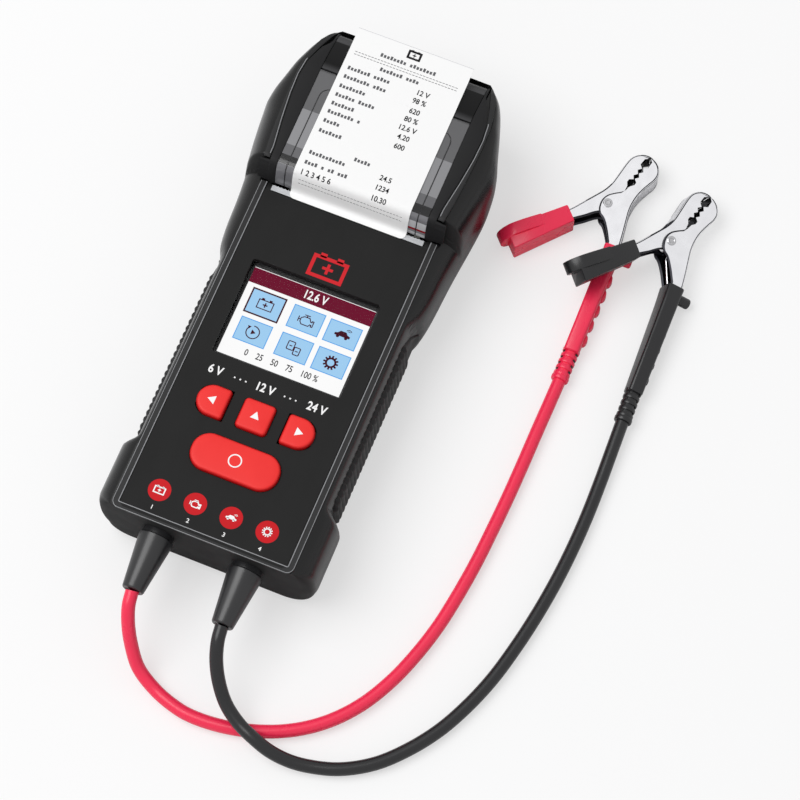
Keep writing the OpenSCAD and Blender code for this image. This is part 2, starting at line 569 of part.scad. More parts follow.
red_route = [[-boot_x, -154.1, boot_z], [-20.6, -160.4, 27.2], [-18.2, -167.2, 21.9],
    [-14.2, -174, 14.5], [-8.6, -180.3, 7.6], [0.5, -185.3, 3.9], [9.5, -188.6, 3.3],
    [19.7, -190.6, 3.2], [36, -189.7, 3.2], [51.5, -185.8, 3.2], [65.9, -179.2, 3.2],
    [78.3, -169.9, 3.2], [88.8, -157.6, 3.2], [96.8, -143, 3.2], [102.6, -127.4, 3.2],
    [106.9, -111, 3.2], [109.6, -94.2, 3.2], [111.5, -77.2, 3.2], [112.6, -59.8, 3.2],
    [113.4, -42.4, 3.2], [113.8, -24.7, 3.2], [114, -7, 3.2], [114.3, 8, 3.3],
    [114.5, 19.4, 3.75]];
black_route = [[boot_x, -154.1, boot_z], [22.3, -160.4, 27.6], [24.4, -167.6, 23],
    [28.5, -175, 17.4], [34.7, -182, 12.6], [43, -187.4, 10], [51.2, -190.8, 9.2],
    [59.5, -193, 7], [68.5, -193.4, 4.6], [77.5, -192.2, 3.4], [91, -188.2, 3.2],
    [104.6, -180, 3.2], [115.8, -168.6, 3.2], [125.3, -155.2, 3.2], [132.6, -140.4, 3.2],
    [138.3, -124.7, 3.2], [142.4, -108.1, 3.2], [145.6, -91, 3.2], [148, -73, 3.2],
    [149.4, -55, 3.2], [149.9, -38, 3.2], [149.7, -21, 3.3], [149.2, -5, 4.1],
    [148.65, 10.9, 4.95]];
module red_lead() color([0.85, 0.1, 0.25]) tube(red_route, lead_d);
module black_lead() color([0.05, 0.05, 0.05]) tube(black_route, lead_d);

// ---- clamps, drawn round the rivet with the long handle along -Y ----
jaw_z = [0.6, jaw_h - 1.4];     // bottom and top of the outer channel
inner_z = [1.8, jaw_h - 2.6];   // bottom and top of the inner channel
rivet_d = 3;
mouth = [[5.2, 9.4], [10.6, 30.2]];
// share of the mouth's length and half its opening there: throat, two diamonds, open nose
bite_form = [[0, 0.12], [0.13, 0.6], [0.21, 1.9], [0.28, 1.9], [0.34, 0.12], [0.42, 1.4],
    [0.5, 0.12], [0.58, 1.4], [0.66, 0.12], [0.73, 2], [0.88, 1.9], [0.96, 0.12]];
fixed_back = [[11.8, 8.6], [13.3, 12.8], [14.9, 16.2], [16.3, 19], [16.9, 21.6],
    [16.7, 23.8], [15.8, 25.8]];
swing_back = [[5.4, 29.8], [3.2, 28.3], [1.6, 26.1], [0.5, 22.6], [-0.8, 16.5],
    [-2.2, 10.6]];
fixed_plan = concat([[12.6, 28.9], [14.4, 27.6]], reversed(fixed_back), [[11, 4],
    [10.9, 0], [11.5, -5], [12.4, -12], [13, -18], [13, -70], [7.6, -70], [7, -18.5],
    [3.8, -12.5], [0.6, -8], [-1.6, -6.4], [-3, -3.6], [-3.2, 0.6], [-1.8, 3.8],
    [1, 6.2], [3.6, 7.8]]);
swing_plan = concat([[12.3, 29.5], [10.6, 30.4], [8, 30.6]], swing_back, [[-4.2, 6.4],
    [-6.9, 2.6], [-10.2, -1.8], [-15.7, -9], [-33, -24.4], [-29.2, -28.6], [-12, -12.9],
    [-8, -9.8], [-2.6, -5.4], [2.2, -4.4], [4.8, -1], [4.6, 4]]);
function bite(side) =
    let (d = mouth[1] - mouth[0], n = [d[1], -d[0]] / norm(d))
    [for (p = bite_form) mouth[0] + d * p[0] + n * side * p[1]];
// band along an open line, t wide to its left
module wall_along(line, t) {
    n = len(line);
    function out(i) =
        let (d = line[min(i + 1, n - 1)] - line[max(i - 1, 0)]) [-d[1], d[0]] / norm(d) * t;
    polygon(concat(line, [for (i = [n - 1:-1:0]) line[i] + out(i)]));
}
module handle_taper() along_x(-60, 40) polygon([[40, 0], [40, 20], [-18, 20],
    [-18.2, jaw_z[1]], [-70.1, 7.6], [-70.1, 0]]);
module fixed_jaw() color([0.7, 0.71, 0.73]) difference() {
    intersection() {
        union() {
            for (z = [jaw_z[0], jaw_z[1] - jaw_t])
                translate([0, 0, z]) linear_extrude(jaw_t)
                    polygon(concat(fixed_plan, bite(1)));
            translate([0, 0, jaw_z[0]]) linear_extrude(jaw_z[1] - jaw_z[0]) {
                wall_along(fixed_back, jaw_t);
                wall_along([[13, -70], [13, -18], [12.4, -12], [11.5, -5]], jaw_t);
            }
            along_x(7.8, 12.8) polygon([[-18, jaw_z[1]], [-70, 7.6], [-70, 6.7],
                [-18, jaw_z[1] - 0.9]]);
        }
        handle_taper();
    }
    cylinder(h = 40, d = rivet_d, center = true);
}
module swing_jaw() color([0.7, 0.71, 0.73]) difference() {
    union() {
        for (z = [inner_z[0], inner_z[1] - jaw_t])
            translate([0, 0, z]) linear_extrude(jaw_t)
                polygon(concat(swing_plan, bite(-1)));
        translate([0, 0, inner_z[0]]) linear_extrude(inner_z[1] - inner_z[0]) {
            wall_along(swing_back, jaw_t);
            wall_along([[-10.2, -1.8], [-15.7, -9], [-33, -24.4]], jaw_t);
        }
    }
    cylinder(h = 40, d = rivet_d + 0.12, center = true);
}
module rivet() color([0.75, 0.76, 0.78]) {
    translate([0, 0, jaw_z[0] - 0.5]) cylinder(h = 0.5, d = 5.4);
    translate([0, 0, jaw_z[0] - 0.1]) cylinder(h = jaw_z[1] - jaw_z[0] + 0.2, d = rivet_d);
    translate([0, 0, jaw_z[1]]) difference() {
        cylinder(h = 0.6, d1 = 4.6, d2 = 3.8);
        translate([0, 0, 0.2]) cylinder(h = 1, d = 2.2);
    }
}
module clamp_spring() color([0.6, 0.61, 0.63]) {
    for (i = [0:3])
        translate([0, 0, 4.1 + i * 1.15]) rotate_extrude() translate([3.3, 0]) circle(d = 1.2);
    translate([3.3, 0, 4.1]) rotate([90, 0, 0]) cylinder(h = 7, d = 1.2);
    translate([3.3, -6.8, 4.1]) rotate([90, 0, 24]) cylinder(h = 14, d = 1.2);
}
module slab(x0, x1, z1, r, y) {
    translate([0, y + 0.5, 0]) rotate([90, 0, 0]) linear_extrude(1) translate([(x0 + x1) / 2,
        z1 / 2]) rounded(x1 - x0, z1, r);
}
module long_sleeve() color([0.08, 0.08, 0.08]) {
    difference() {
        hull() {
            slab(6, 14.4, 12.2, 2.4, -19.6);
            slab(6.4, 14.2, 11.7, 2.4, -28);
            slab(6.8, 14, 8.4, 2.4, -73.6);
        }
        along_x(6.95, 13.05) polygon([[0, 0.55], [0, jaw_z[1] + 1], [-18.2, jaw_z[1] + 0.05],
            [-70.1, 7.65], [-70.1, 0.55]]);
    }
    translate([10.4, -73.9, 3.75]) rotate([90, 0, 0]) rotate_extrude() polygon(concat(
        [[0, 0]], [for (i = [0:3]) each [[3.75, i * 3.6], [3.75, i * 3.6 + 1.9],
            [3.2, i * 3.6 + 2.2], [3.2, i * 3.6 + 3.3]]], [[3.4, 15], [0, 15]]));
    for (i = [0:4]) translate([14.3, -34 - i * 8, 0.8]) cylinder(h = 5.4, d = 2.4);
    // peg at the jaw end, slanting back
    translate([15, -20.4, 5.4]) rotate([0, 90, -34]) {
        cylinder(h = 6.4, d = 5);
        translate([0, 0, 6.4]) cylinder(h = 0.7, d1 = 5, d2 = 3.8);
    }
}
// side view of the thumb rest that curls over the end of the short sleeve
thumb_rest = [[13, 11], [13.5, 12.2], [18, 12.9], [24, 13.4], [29, 13.1], [32, 11.9],
    [34.4, 9.6], [35.7, 6.8], [35.5, 4.2], [34, 2.4], [31, 1.6], [28, 1.6], [28, 11]];
module short_sleeve() color([0.08, 0.08, 0.08])
    translate([-14.2, -10.9, 0]) rotate(43.3 - 180) difference() {
        union() {
            hull() {
                rotate(-90) slab(-4.6, 4.1, 12.2, 0.9, 0.6);
                rotate(-90) slab(-7.6, 3.9, 12.2, 0.9, 31);
            }
            translate([0, 1.6, 0]) rotate([90, 0, 0]) linear_extrude(6) polygon(thumb_rest);
        }
        translate([-12, -3.3, 1.7]) cube([38.6, 6.2, jaw_h - 4.2]);
    }
red_at = [104, 108.5];
black_at = [133.5, 99.5];
module red_place() translate([red_at[0], red_at[1], 0]) children();
module black_place() translate([black_at[0], black_at[1], 0]) rotate(upper_turn)
    translate([14.4, 0, 0]) rotate([0, upper_tilt, 0]) translate([-14.4, 0, 0]) children();
module red_fixed_jaw() red_place() fixed_jaw();
module red_swing_jaw() red_place() swing_jaw();
module red_rivet() red_place() rivet();
module red_spring() red_place() clamp_spring();
module red_long_sleeve() color([0.85, 0.1, 0.25]) red_place() long_sleeve();
module red_short_sleeve() color([0.85, 0.1, 0.25]) red_place() short_sleeve();
module black_fixed_jaw() black_place() fixed_jaw();
module black_swing_jaw() black_place() swing_jaw();
module black_rivet() black_place() rivet();
module black_spring() black_place() clamp_spring();
module black_long_sleeve() black_place() long_sleeve();
module black_short_sleeve() black_place() short_sleeve();

front_shell();
back_shell();
face_plate();
face_trim();
head_trim();
screen_window();
lcd_module();
lcd_frame();
main_board();
key_left();
key_up();
key_right();
key_enter();
mark_lenses();
mark_leds();
key_switches();
buzzer();
left_grip();
right_grip();
lid_frame();
lid_window();
lid_cap();
lid_pin();
platen_roller();
platen_shaft();
platen_gear();
idler_gear();
motor_pinion();
feed_motor();
print_head();
printer_chassis();
paper_tub();
paper_roll();
paper_core();
paper_web();
receipt();
tear_bar();
shell_screws();
left_boot();
right_boot();
red_lead();
black_lead();
red_fixed_jaw();
red_swing_jaw();
red_rivet();
red_spring();
red_long_sleeve();
red_short_sleeve();
black_fixed_jaw();
black_swing_jaw();
black_rivet();
black_spring();
black_long_sleeve();
black_short_sleeve();
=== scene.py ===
"""Handheld battery tester with a receipt printer and two clamp leads, lying on a pale floor.

Sizes are in millimetres and become metres when a mesh is made. X runs across the housing, Y from
the lead end to the printer end, Z out of the keypad face. Every piece is a numpy surface, or a
frame node with a procedural finish."""
import math
import bmesh
import bpy
import numpy as np
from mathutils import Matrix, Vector


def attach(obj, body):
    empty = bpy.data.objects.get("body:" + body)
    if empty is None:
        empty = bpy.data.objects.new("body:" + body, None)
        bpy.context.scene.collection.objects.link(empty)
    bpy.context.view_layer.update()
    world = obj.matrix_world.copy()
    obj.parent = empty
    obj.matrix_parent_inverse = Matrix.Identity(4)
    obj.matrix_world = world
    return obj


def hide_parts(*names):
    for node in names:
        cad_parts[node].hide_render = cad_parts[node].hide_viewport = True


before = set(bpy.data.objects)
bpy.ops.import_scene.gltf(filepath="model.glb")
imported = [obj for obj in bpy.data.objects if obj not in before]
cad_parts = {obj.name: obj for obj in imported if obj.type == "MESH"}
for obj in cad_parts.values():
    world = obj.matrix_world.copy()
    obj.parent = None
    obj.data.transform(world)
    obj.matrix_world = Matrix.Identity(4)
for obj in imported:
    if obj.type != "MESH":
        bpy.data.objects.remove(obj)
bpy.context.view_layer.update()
MM = 0.001

# ---- driving sizes, as in the construction ----
FACE_Z, HEAD_Z = 46.0, 60.0
DECK = FACE_Z - 1.2
ROOF = HEAD_Z - 1.8
ENDS = (-125.0, 126.0)
LCD_W, LCD_H, LCD_Z, LCD_Y = 59.4, 44.6, 41.6, -17.4
HALF_KEY, KEY_BASE, KEY_TOP, ARROW_X, ARROW_Y = 7.5, 41.2, 48.2, 21.0, -64.0
ENTER_W, ENTER_H, ENTER_Y = 42.0, 18.0, -87.0
MARK_X, MARK_Y = (-25.8, -8.6, 8.6, 25.8), -111.4
STRIP_HW, PAPER_HW = 36.9, 28.5
BOOT_X, BOOT_Z = 21.5, 29.0
LEAD_D = 6.2
POST_Y = 104.0
SKIN = 0.2
PLAN_ROUNDS, FOOT_ROUNDS, LOW_ROUND, WALL_BOW = (7, 9), (9, 14), 8, 3.2


# ---- camera ----
def aim_camera(azimuth, elevation, target, distance, lens):
    """Camera on the line from target at azimuth and elevation, with the floor level across it."""
    a, e = math.radians(azimuth), math.radians(elevation)
    right = np.array([math.cos(a), math.sin(a), 0.0])
    back = np.array([math.sin(a) * math.cos(e), -math.cos(a) * math.cos(e), math.sin(e)])
    up = np.cross(back, right)
    data = bpy.data.cameras.new("camera")
    data.lens, data.sensor_width, data.clip_start, data.clip_end = lens, 36, 0.05, 20
    camera = bpy.data.objects.new("camera", data)
    matrix = np.eye(4)
    matrix[:3, 0], matrix[:3, 1], matrix[:3, 2] = right, up, back
    matrix[:3, 3] = (np.array(target) + back * distance) * MM
    camera.matrix_world = matrix.T.tolist()
    bpy.context.scene.collection.objects.link(camera)
    bpy.context.scene.camera = camera


aim_camera(azimuth=22.208, elevation=68.997, target=(56.277, -32, 46), distance=1426, lens=144)


# ---- shader toolkit ----
class Value:
    """A shader socket on which Python's operators add Math nodes."""

    def __init__(self, nodes, socket):
        self.nodes, self.socket = nodes, socket

    def math(self, operation, *others):
        return self.nodes.math(operation, self, *others)

    def __add__(self, other):
        return self.math("ADD", other)

    def __mul__(self, other):
        return self.math("MULTIPLY", other)

    def __sub__(self, other):
        return self.math("SUBTRACT", other)

    def __truediv__(self, other):
        return self.math("DIVIDE", other)

    def __rsub__(self, other):
        return self.nodes.math("SUBTRACT", other, self)

    def __gt__(self, other):
        return self.math("GREATER_THAN", other)

    def __abs__(self):
        return self.math("ABSOLUTE")

    __radd__, __rmul__ = __add__, __mul__

    def soft(self, low, high):
        """0 below low, 1 above high, smooth between."""
        return self.nodes.node("MapRange", {"interpolation_type": "SMOOTHSTEP"},
            {"Value": self, "From Min": low, "From Max": high})

    def between(self, low, high, blur=0.1):
        """1 from low to high and 0 outside, with edges blur wide to each side."""
        return (self - low).soft(-blur, blur) * (1 - (self - high).soft(-blur, blur))


class Nodes:
    """A node tree whose sockets take numbers, colours or Values."""

    def __init__(self, tree):
        self.tree = tree

    def node(self, kind, settings=None, inputs=None, output=0):
        made = self.tree.nodes.new("ShaderNode" + kind)
        for key, value in (settings or {}).items():
            setattr(made, key, value)
        for key, value in (inputs or {}).items():
            self.feed(made.inputs[key], value)
        return Value(self, made.outputs[output])

    def feed(self, socket, value):
        if isinstance(value, Value):
            self.tree.links.new(value.socket, socket)
        elif isinstance(value, tuple) and socket.type == "RGBA":
            socket.default_value = (*value, 1)
        else:
            socket.default_value = value

    def math(self, operation, *values):
        return self.node("Math", {"operation": operation}, dict(enumerate(values)))

    def seen_by(self, *rays):
        """1 for the named kinds of ray and 0 for every other one."""
        total, *others = [self.node("LightPath", output=f"Is {ray} Ray") for ray in rays]
        for other in others:
            total = total.math("MAXIMUM", other)
        return total


class Paint(Nodes):
    """A Principled material, which keeps the slot name it is given; constant sockets are set, and
    varying ones are linked."""

    def __init__(self, name, slot=None, **sockets):
        self.slot = slot
        self.material = bpy.data.materials.new(name)
        self.material.use_nodes = True
        super().__init__(self.material.node_tree)
        self.shader = self.tree.nodes["Principled BSDF"]
        self.put(**sockets)

    def put(self, **sockets):
        for key, value in sockets.items():
            self.feed(self.shader.inputs[key.replace("_", " ")], value)
        return self

    def place(self):
        """Object coordinates in millimetres."""
        coords = self.node("TexCoord", output=3)
        return self.node("VectorMath", {"operation": "SCALE"}, {0: coords, "Scale": 1000.0})

    def axes(self):
        place = self.place()
        return [self.node("SeparateXYZ", None, {0: place}, output=i) for i in range(3)]

    def facing(self, axis):
        """How far the surface faces along x, y or z, which are 0, 1 and 2: from -1 to 1."""
        normal = self.node("NewGeometry", output=1)
        return self.node("SeparateXYZ", None, {0: normal}, output=axis)

    def noise(self, size, detail=2.0, stretch=(1, 1, 1)):
        """Noise from 0 to 1 with features about size millimetres across."""
        where = self.node("Mapping", None, {"Vector": self.place(), "Scale": stretch})
        return self.node("TexNoise", None, {"Vector": where, "Scale": 1.0 / size, "Detail": detail})

    def mix(self, factor, a, b):
        """Colour a where factor is 0 and b where it is 1; sockets 6, 7 and 2 are its colours."""
        return self.node("Mix", {"data_type": "RGBA"}, {0: factor, 6: a, 7: b}, output=2)

    def bump(self, height, depth):
        """Bump from a height field whose 1 is depth millimetres."""
        return self.put(Normal=self.node("Bump", None, {"Height": height, "Distance": depth * MM}))


def srgb(*levels):
    """Linear colour from display levels of 0 to 255."""
    return tuple(((v / 255 + 0.055) / 1.055) ** 2.4 if v > 10 else v / 255 / 12.92 for v in levels)


def shade(colour, k):
    return tuple(min(1.0, c * k) for c in colour)


def moulded(name, colour, roughness, grain=0.012, grain_mm=0.5, mottle=0.08, specular=0.5,
        end_matt=0.0, slot=None):
    """Injection-moulded plastic or rubber: fine spark-eroded grain, slow mottling, handling marks,
    and end_matt more roughness on walls that face the lead end."""
    paint = Paint(name, slot, Specular_IOR_Level=specular)
    slow, fine = paint.noise(28, 3), paint.noise(grain_mm, 2)
    rub = paint.noise(9, 4, stretch=(1, 0.4, 1))
    rough = (rub - 0.5) * 0.16 + roughness
    if end_matt:
        rough = rough + (0 - paint.facing(1)).soft(0.2, 0.8) * end_matt
    paint.put(Base_Color=paint.mix(slow * 0.7 + fine * 0.3, shade(colour, 1 - mottle),
        shade(colour, 1 + mottle)), Roughness=rough)
    return paint.bump(fine, grain)


def metal(name, colour, roughness, stretch=(1, 1, 1), scratch=0.006, slot=None):
    """Plated or brushed steel: directional hairlines, cloudy roughness, slight tarnish."""
    paint = Paint(name, slot, Metallic=1.0)
    lines, cloud = paint.noise(0.6, 3, stretch=stretch), paint.noise(7, 3)
    paint.put(Base_Color=paint.mix(cloud, shade(colour, 0.9), shade(colour, 1.06)),
        Roughness=lines * 0.12 + cloud * 0.1 + (roughness - 0.1))
    return paint.bump(lines, scratch)


def glowing(name, colour, strength=0.9):
    """Lit area of the display: an even emission over a dark pane, with faint pixel rows."""
    paint = Paint(name, Roughness=0.4, Base_Color=shade(colour, 0.04), Emission_Strength=strength,
        Specular_IOR_Level=0.08)
    x, y, _ = paint.axes()
    turn, pixel = 6.2832, 0.19
    rows = (y * turn / pixel).math("SINE") * 0.012 + (x * turn / pixel).math("SINE") * 0.012
    return paint.put(Emission_Color=paint.mix(rows + 0.5, shade(colour, 0.94), shade(colour, 1.03)))


# ---- mesh toolkit ----
def piece(name, parts, finish, body="housing", replaces=(), smooth=32, weld=True):
    """Object from (points, faces) parts in millimetres, welded where they meet, that rides on body
    and takes its finish's material."""
    points = np.concatenate([p for p, _ in parts])
    starts = np.cumsum([0] + [len(p) for p, _ in parts[:-1]])
    faces = [[int(i + s) for i in f] for (_, fs), s in zip(parts, starts) for f in fs]
    mesh = bpy.data.meshes.new(name)
    mesh.from_pydata((points * MM).tolist(), [], faces)
    if weld:
        work = bmesh.new()
        work.from_mesh(mesh)
        bmesh.ops.remove_doubles(work, verts=work.verts, dist=2e-7)
        bmesh.ops.dissolve_degenerate(work, edges=work.edges, dist=1e-8)
        work.to_mesh(mesh)
        work.free()
    mesh.polygons.foreach_set("use_smooth", np.ones(len(mesh.polygons), bool))
    mesh.set_sharp_from_angle(angle=math.radians(smooth))
    mesh.materials.append(finish.material)
    made = bpy.data.objects.new(name, mesh)
    bpy.context.scene.collection.objects.link(made)
    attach(made, body)
    if replaces:
        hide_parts(*replaces)
    return made


def surface(x, y, z):
    """Array of points from three arrays that broadcast together."""
    return np.stack(np.broadcast_arrays(x, y, z), -1)


def at(z, plan):
    """Plan points (x, y) at height z, one number or one for each point."""
    return np.column_stack([plan, np.broadcast_to(z, len(plan))])


def grid(points, closed=False, flip=False):
    """(points, faces) of a rows x cols array of points; faces look along (col way) x (row way)."""
    rows, cols = points.shape[:2]
    i, j = np.meshgrid(np.arange(rows - 1), np.arange(cols if closed else cols - 1), indexing="ij")
    a, b = i * cols + j, i * cols + (j + 1) % cols
    order = (a, a + cols, b + cols, b) if flip else (a, b, b + cols, a + cols)
    return points.reshape(-1, 3), np.stack(order, -1).reshape(-1, 4)


def capped(rings, flip=False):
    """Closed rings joined in their order, with a flat face over the first and the last."""
    points, faces = grid(rings, closed=True, flip=flip)
    ends = np.arange(rings.shape[1])[::-1], np.arange(len(points) - rings.shape[1], len(points))
    return points, faces.tolist() + [end[::-1 if flip else 1].tolist() for end in ends]


def moved(place, parts):
    return [(place(points), faces) for points, faces in parts]


def unit(rows):
    return rows / np.linalg.norm(rows, axis=1, keepdims=True)


def steps_along(line):
    return np.linalg.norm(np.diff(line, axis=0), axis=1)


def normals_2d(outline, closed=True):
    """Unit normals to the right of a 2D line's direction, mitred at its corners."""
    if closed:
        before, after = outline - np.roll(outline, 1, 0), np.roll(outline, -1, 0) - outline
    else:
        step = np.diff(outline, axis=0)
        before, after = np.vstack([step[:1], step]), np.vstack([step, step[-1:]])
    after = unit(after)
    mean = unit(unit(before) + after)
    mitre = 1 / np.clip((mean * after).sum(1), 0.5, 1)
    return np.stack([mean[:, 1], -mean[:, 0]], 1) * mitre[:, None]


def prism(outline, low, high, edge, across=False, steps=3):
    """Solid from a closed anticlockwise outline carried from low to high along Z, or across along X
    from an outline in (y, z); at each end the outline draws in by edge (1 - cos t) while it rises
    edge sin t, which rounds the rim."""
    t = np.linspace(0, math.pi / 2, steps + 1)
    inset = edge * np.concatenate([1 - np.sin(t), 1 - np.cos(t)])
    height = np.concatenate([low + edge * (1 - np.cos(t)), high - edge * (1 - np.sin(t))])
    flat = outline[None] - normals_2d(outline)[None] * inset[:, None, None]
    rings = surface(flat[..., 0], flat[..., 1], height[:, None])
    return capped(rings[..., [2, 0, 1]] if across else rings)


def arc(centre, radius, start, stop, count=8):
    t = np.radians(np.linspace(start, stop, count + 1))
    return np.stack([centre[0] + radius * np.cos(t), centre[1] + radius * np.sin(t)], 1)


def rounded_rect(x0, y0, x1, y1, r, count=6):
    corners = (x1 - r, y1 - r), (x0 + r, y1 - r), (x0 + r, y0 + r), (x1 - r, y0 + r)
    return np.concatenate([arc(c, r, 90 * i, 90 * i + 90, count) for i, c in enumerate(corners)])


def curve_through(points, per_step):
    """Centripetal Catmull-Rom curve through points of any dimension."""
    p = np.asarray(points, float)
    p = np.concatenate([2 * p[:1] - p[1:2], p, 2 * p[-1:] - p[-2:-1]])
    knots = np.concatenate([[0], np.cumsum(steps_along(p) ** 0.5)])
    k = np.arange(1, len(p) - 2)
    u = np.linspace(0, 1, per_step, endpoint=False)
    t = knots[k, None] + (knots[k + 1] - knots[k])[:, None] * u
    knot = [knots[k + s, None, None] for s in (-1, 0, 1, 2)]
    q, t = [p[k + s, None, :] for s in (-1, 0, 1, 2)], t[:, :, None]

    def blend(a, b, ta, tb):
        return ((tb - t) * a + (t - ta) * b) / (tb - ta)

    a1, a2, a3 = (blend(q[s], q[s + 1], knot[s], knot[s + 1]) for s in range(3))
    b1, b2 = blend(a1, a2, knot[0], knot[2]), blend(a2, a3, knot[1], knot[3])
    line = blend(b1, b2, knot[1], knot[2]).reshape(-1, p.shape[1])
    return np.vstack([line, p[-2:-1]])


def swept(path, profile):
    """Closed profile of (side, up) offsets carried along a path; each ring stands square to it."""
    along = unit(np.gradient(path, axis=0))
    side = unit(np.cross(along, (0, 0, 1.0)))
    over = np.cross(side, along)
    rings = path[:, None] + profile[:, :1] * side[:, None] + profile[:, 1:] * over[:, None]
    return capped(rings, flip=True)


def circle(radius, count):
    t = np.linspace(0, 2 * math.pi, count, endpoint=False)
    return radius * np.stack([np.cos(t), np.sin(t)], 1)


def turned(profile, origin, axis, count):
    """Profile of (radius, distance) points turned about a unit axis through origin; its poles lie
    on the axis, where the weld closes them."""
    profile, axis = np.array(profile, float), np.array(axis, float)
    side = np.cross(axis, (0, 0, 1.0) if axis[2] == 0 else (1.0, 0, 0))
    over = np.cross(axis, side)
    ring = circle(1, count) @ [side, over]
    return grid(origin + profile[:, None, 1:] * axis + profile[:, None, :1] * ring, closed=True)


def rail(table):
    """Monotone cubic through a table of (y, value), as a function of an array of y."""
    x, v = np.array(table, float).T
    h, slope = np.diff(x), np.diff(v) / np.diff(x)
    w1, w2 = 2 * h[1:] + h[:-1], h[1:] + 2 * h[:-1]
    same = slope[:-1] * slope[1:] > 0
    safe = np.where(same, slope[:-1], 1), np.where(same, slope[1:], 1)
    inner = np.where(same, (w1 + w2) / (w1 / safe[0] + w2 / safe[1]), 0)
    m = np.concatenate([[slope[0]], inner, [slope[-1]]])

    def value(y):
        i = np.clip(np.searchsorted(x, y) - 1, 0, len(h) - 1)
        s = np.clip((y - x[i]) / h[i], 0, 1)
        return (v[i] * (1 + 2 * s) * (1 - s) ** 2 + h[i] * m[i] * s * (1 - s) ** 2
            + v[i + 1] * s * s * (3 - 2 * s) - h[i] * m[i + 1] * s * s * (1 - s))
    return value


# ---- finishes ----
SHELL = moulded("satin_shell", srgb(10, 10, 11), 0.24, grain=0.0015, specular=0.3, end_matt=0.5)
FACE = moulded("matt_face", srgb(30, 30, 30), 0.62, grain=0.01, grain_mm=0.35, specular=0.13)
TRIM = moulded("grey_trim", srgb(30, 30, 31), 0.45, grain=0.003, specular=0.25, slot="grey_trim")
TRIM_LINE = moulded("trim_line", srgb(148, 149, 152), 0.3, grain=0.001, mottle=0.04)
ARM = moulded("lid_arm", srgb(29, 29, 30), 0.55, grain=0.008, grain_mm=0.35, specular=0.15,
    slot="matt_face")
GRIP = moulded("grip_rubber", srgb(20, 20, 21), 0.5, specular=0.25, slot="grip_rubber")
MARK = moulded("red_mark", srgb(200, 24, 32), 0.4, grain=0.002, specular=0.12)
INK = moulded("white_ink", srgb(248, 248, 248), 0.5, grain=0.002, mottle=0.02, specular=0.2)
RED_INK = moulded("red_ink", srgb(206, 28, 38), 0.5, grain=0.002, mottle=0.03, specular=0.2)
PRINT = moulded("print_ink", srgb(30, 30, 32), 0.7, grain=0.001, mottle=0.2, specular=0.1)
FAINT_PRINT = moulded("faint_print", srgb(96, 96, 99), 0.7, grain=0.001, mottle=0.2, specular=0.1)
# grey band on the receipt's top edge: painted shade where the paper turns away at its edge
PAPER_EDGE_SHADE = moulded("paper_edge_shade", srgb(206, 207, 210), 0.7, grain=0.001, mottle=0.03, specular=0.1)
BOOT = moulded("boot_rubber", srgb(30, 30, 32), 0.3, grain=0.004, slot="grip_rubber")
RED_RUBBER = moulded("red_rubber", srgb(244, 44, 82), 0.28, grain=0.003, specular=0.4,
    slot="red_rubber")
BLACK_RUBBER = moulded("black_rubber", srgb(26, 26, 28), 0.28, grain=0.003, specular=0.4,
    slot="grip_rubber")
DARK_SLOT = moulded("slot_shadow", srgb(14, 12, 13), 0.7, grain=0.002)
WHITE_PART = moulded("white_plastic", srgb(214, 213, 206), 0.45)
BLACK_PART = moulded("black_plastic", srgb(20, 20, 21), 0.45)
BOARD = moulded("circuit_board", srgb(24, 92, 52), 0.35, grain=0.02, grain_mm=1.2, mottle=0.2)
CERAMIC = moulded("ceramic_head", srgb(205, 196, 178), 0.2, grain=0.002)
CARD = moulded("card_core", srgb(176, 150, 112), 0.85, grain=0.05, grain_mm=0.8, mottle=0.14)
PAPER = moulded("thermal_paper", srgb(248, 248, 248), 0.55, grain=0.004, grain_mm=0.25, mottle=0.01,
    specular=0.2, slot="thermal_paper")
STEEL = metal("steel", srgb(178, 178, 180), 0.34, stretch=(0.1, 1, 1), slot="plated_steel")
BAR_STEEL = metal("bar_steel", srgb(172, 174, 177), 0.42, stretch=(0.1, 1, 1))
PLATED = metal("plated_steel", srgb(228, 228, 231), 0.24, stretch=(1, 0.12, 1), scratch=0.002,
    slot="plated_steel")
# Painted shade for the jaws: their chamfers and the walls and sheets within their channels.
SHADE_STEEL = metal("painted_shade_steel", srgb(46, 46, 50), 0.3, scratch=0.003, slot="plated_steel")
BRASS = metal("brass_pinion", srgb(200, 160, 86), 0.3)


def gloss():
    """Polished black acrylic with faint rub marks, and painted highlights: lighter grey near its
    seam with the window and round the nose past its last bend."""
    paint = Paint("gloss_black", "gloss_black", Specular_IOR_Level=0.16)
    y = paint.axes()[1]
    slow, fine = paint.noise(20, 3), paint.noise(1.2, 2)
    # painted highlight: lighter grey bands by the window seam and round the nose
    seam = 1 - (y - 100.4).soft(0, 4.5)
    bend = (y - 117.6).soft(0, 0.6) * (1 - (y - 119).soft(0, 5))
    black = paint.mix(slow, srgb(7, 7, 8), srgb(11, 11, 12))
    paint.put(Base_Color=paint.mix(seam * 0.55 + bend * 0.6, black, srgb(88, 88, 90)),
        Roughness=fine * 0.04 + 0.1)
    return paint.bump(fine, 0.0006)


def silicone():
    """Moulded key rubber with painted shade: a deeper red round each cap's rim, where it
    turns from the top.
    """
    paint = Paint("red_key", "red_key", Specular_IOR_Level=0.2)
    slow, fine = paint.noise(16, 3), paint.noise(0.3, 2)
    top = paint.mix(slow, srgb(232, 44, 43), srgb(244, 56, 53))
    # painted shade: darker red wherever the surface faces less upward
    paint.put(Base_Color=paint.mix(paint.facing(2).soft(0.55, 1.0), srgb(196, 20, 22), top),
        Roughness=fine * 0.08 + 0.36)
    return paint.bump(fine, 0.004)


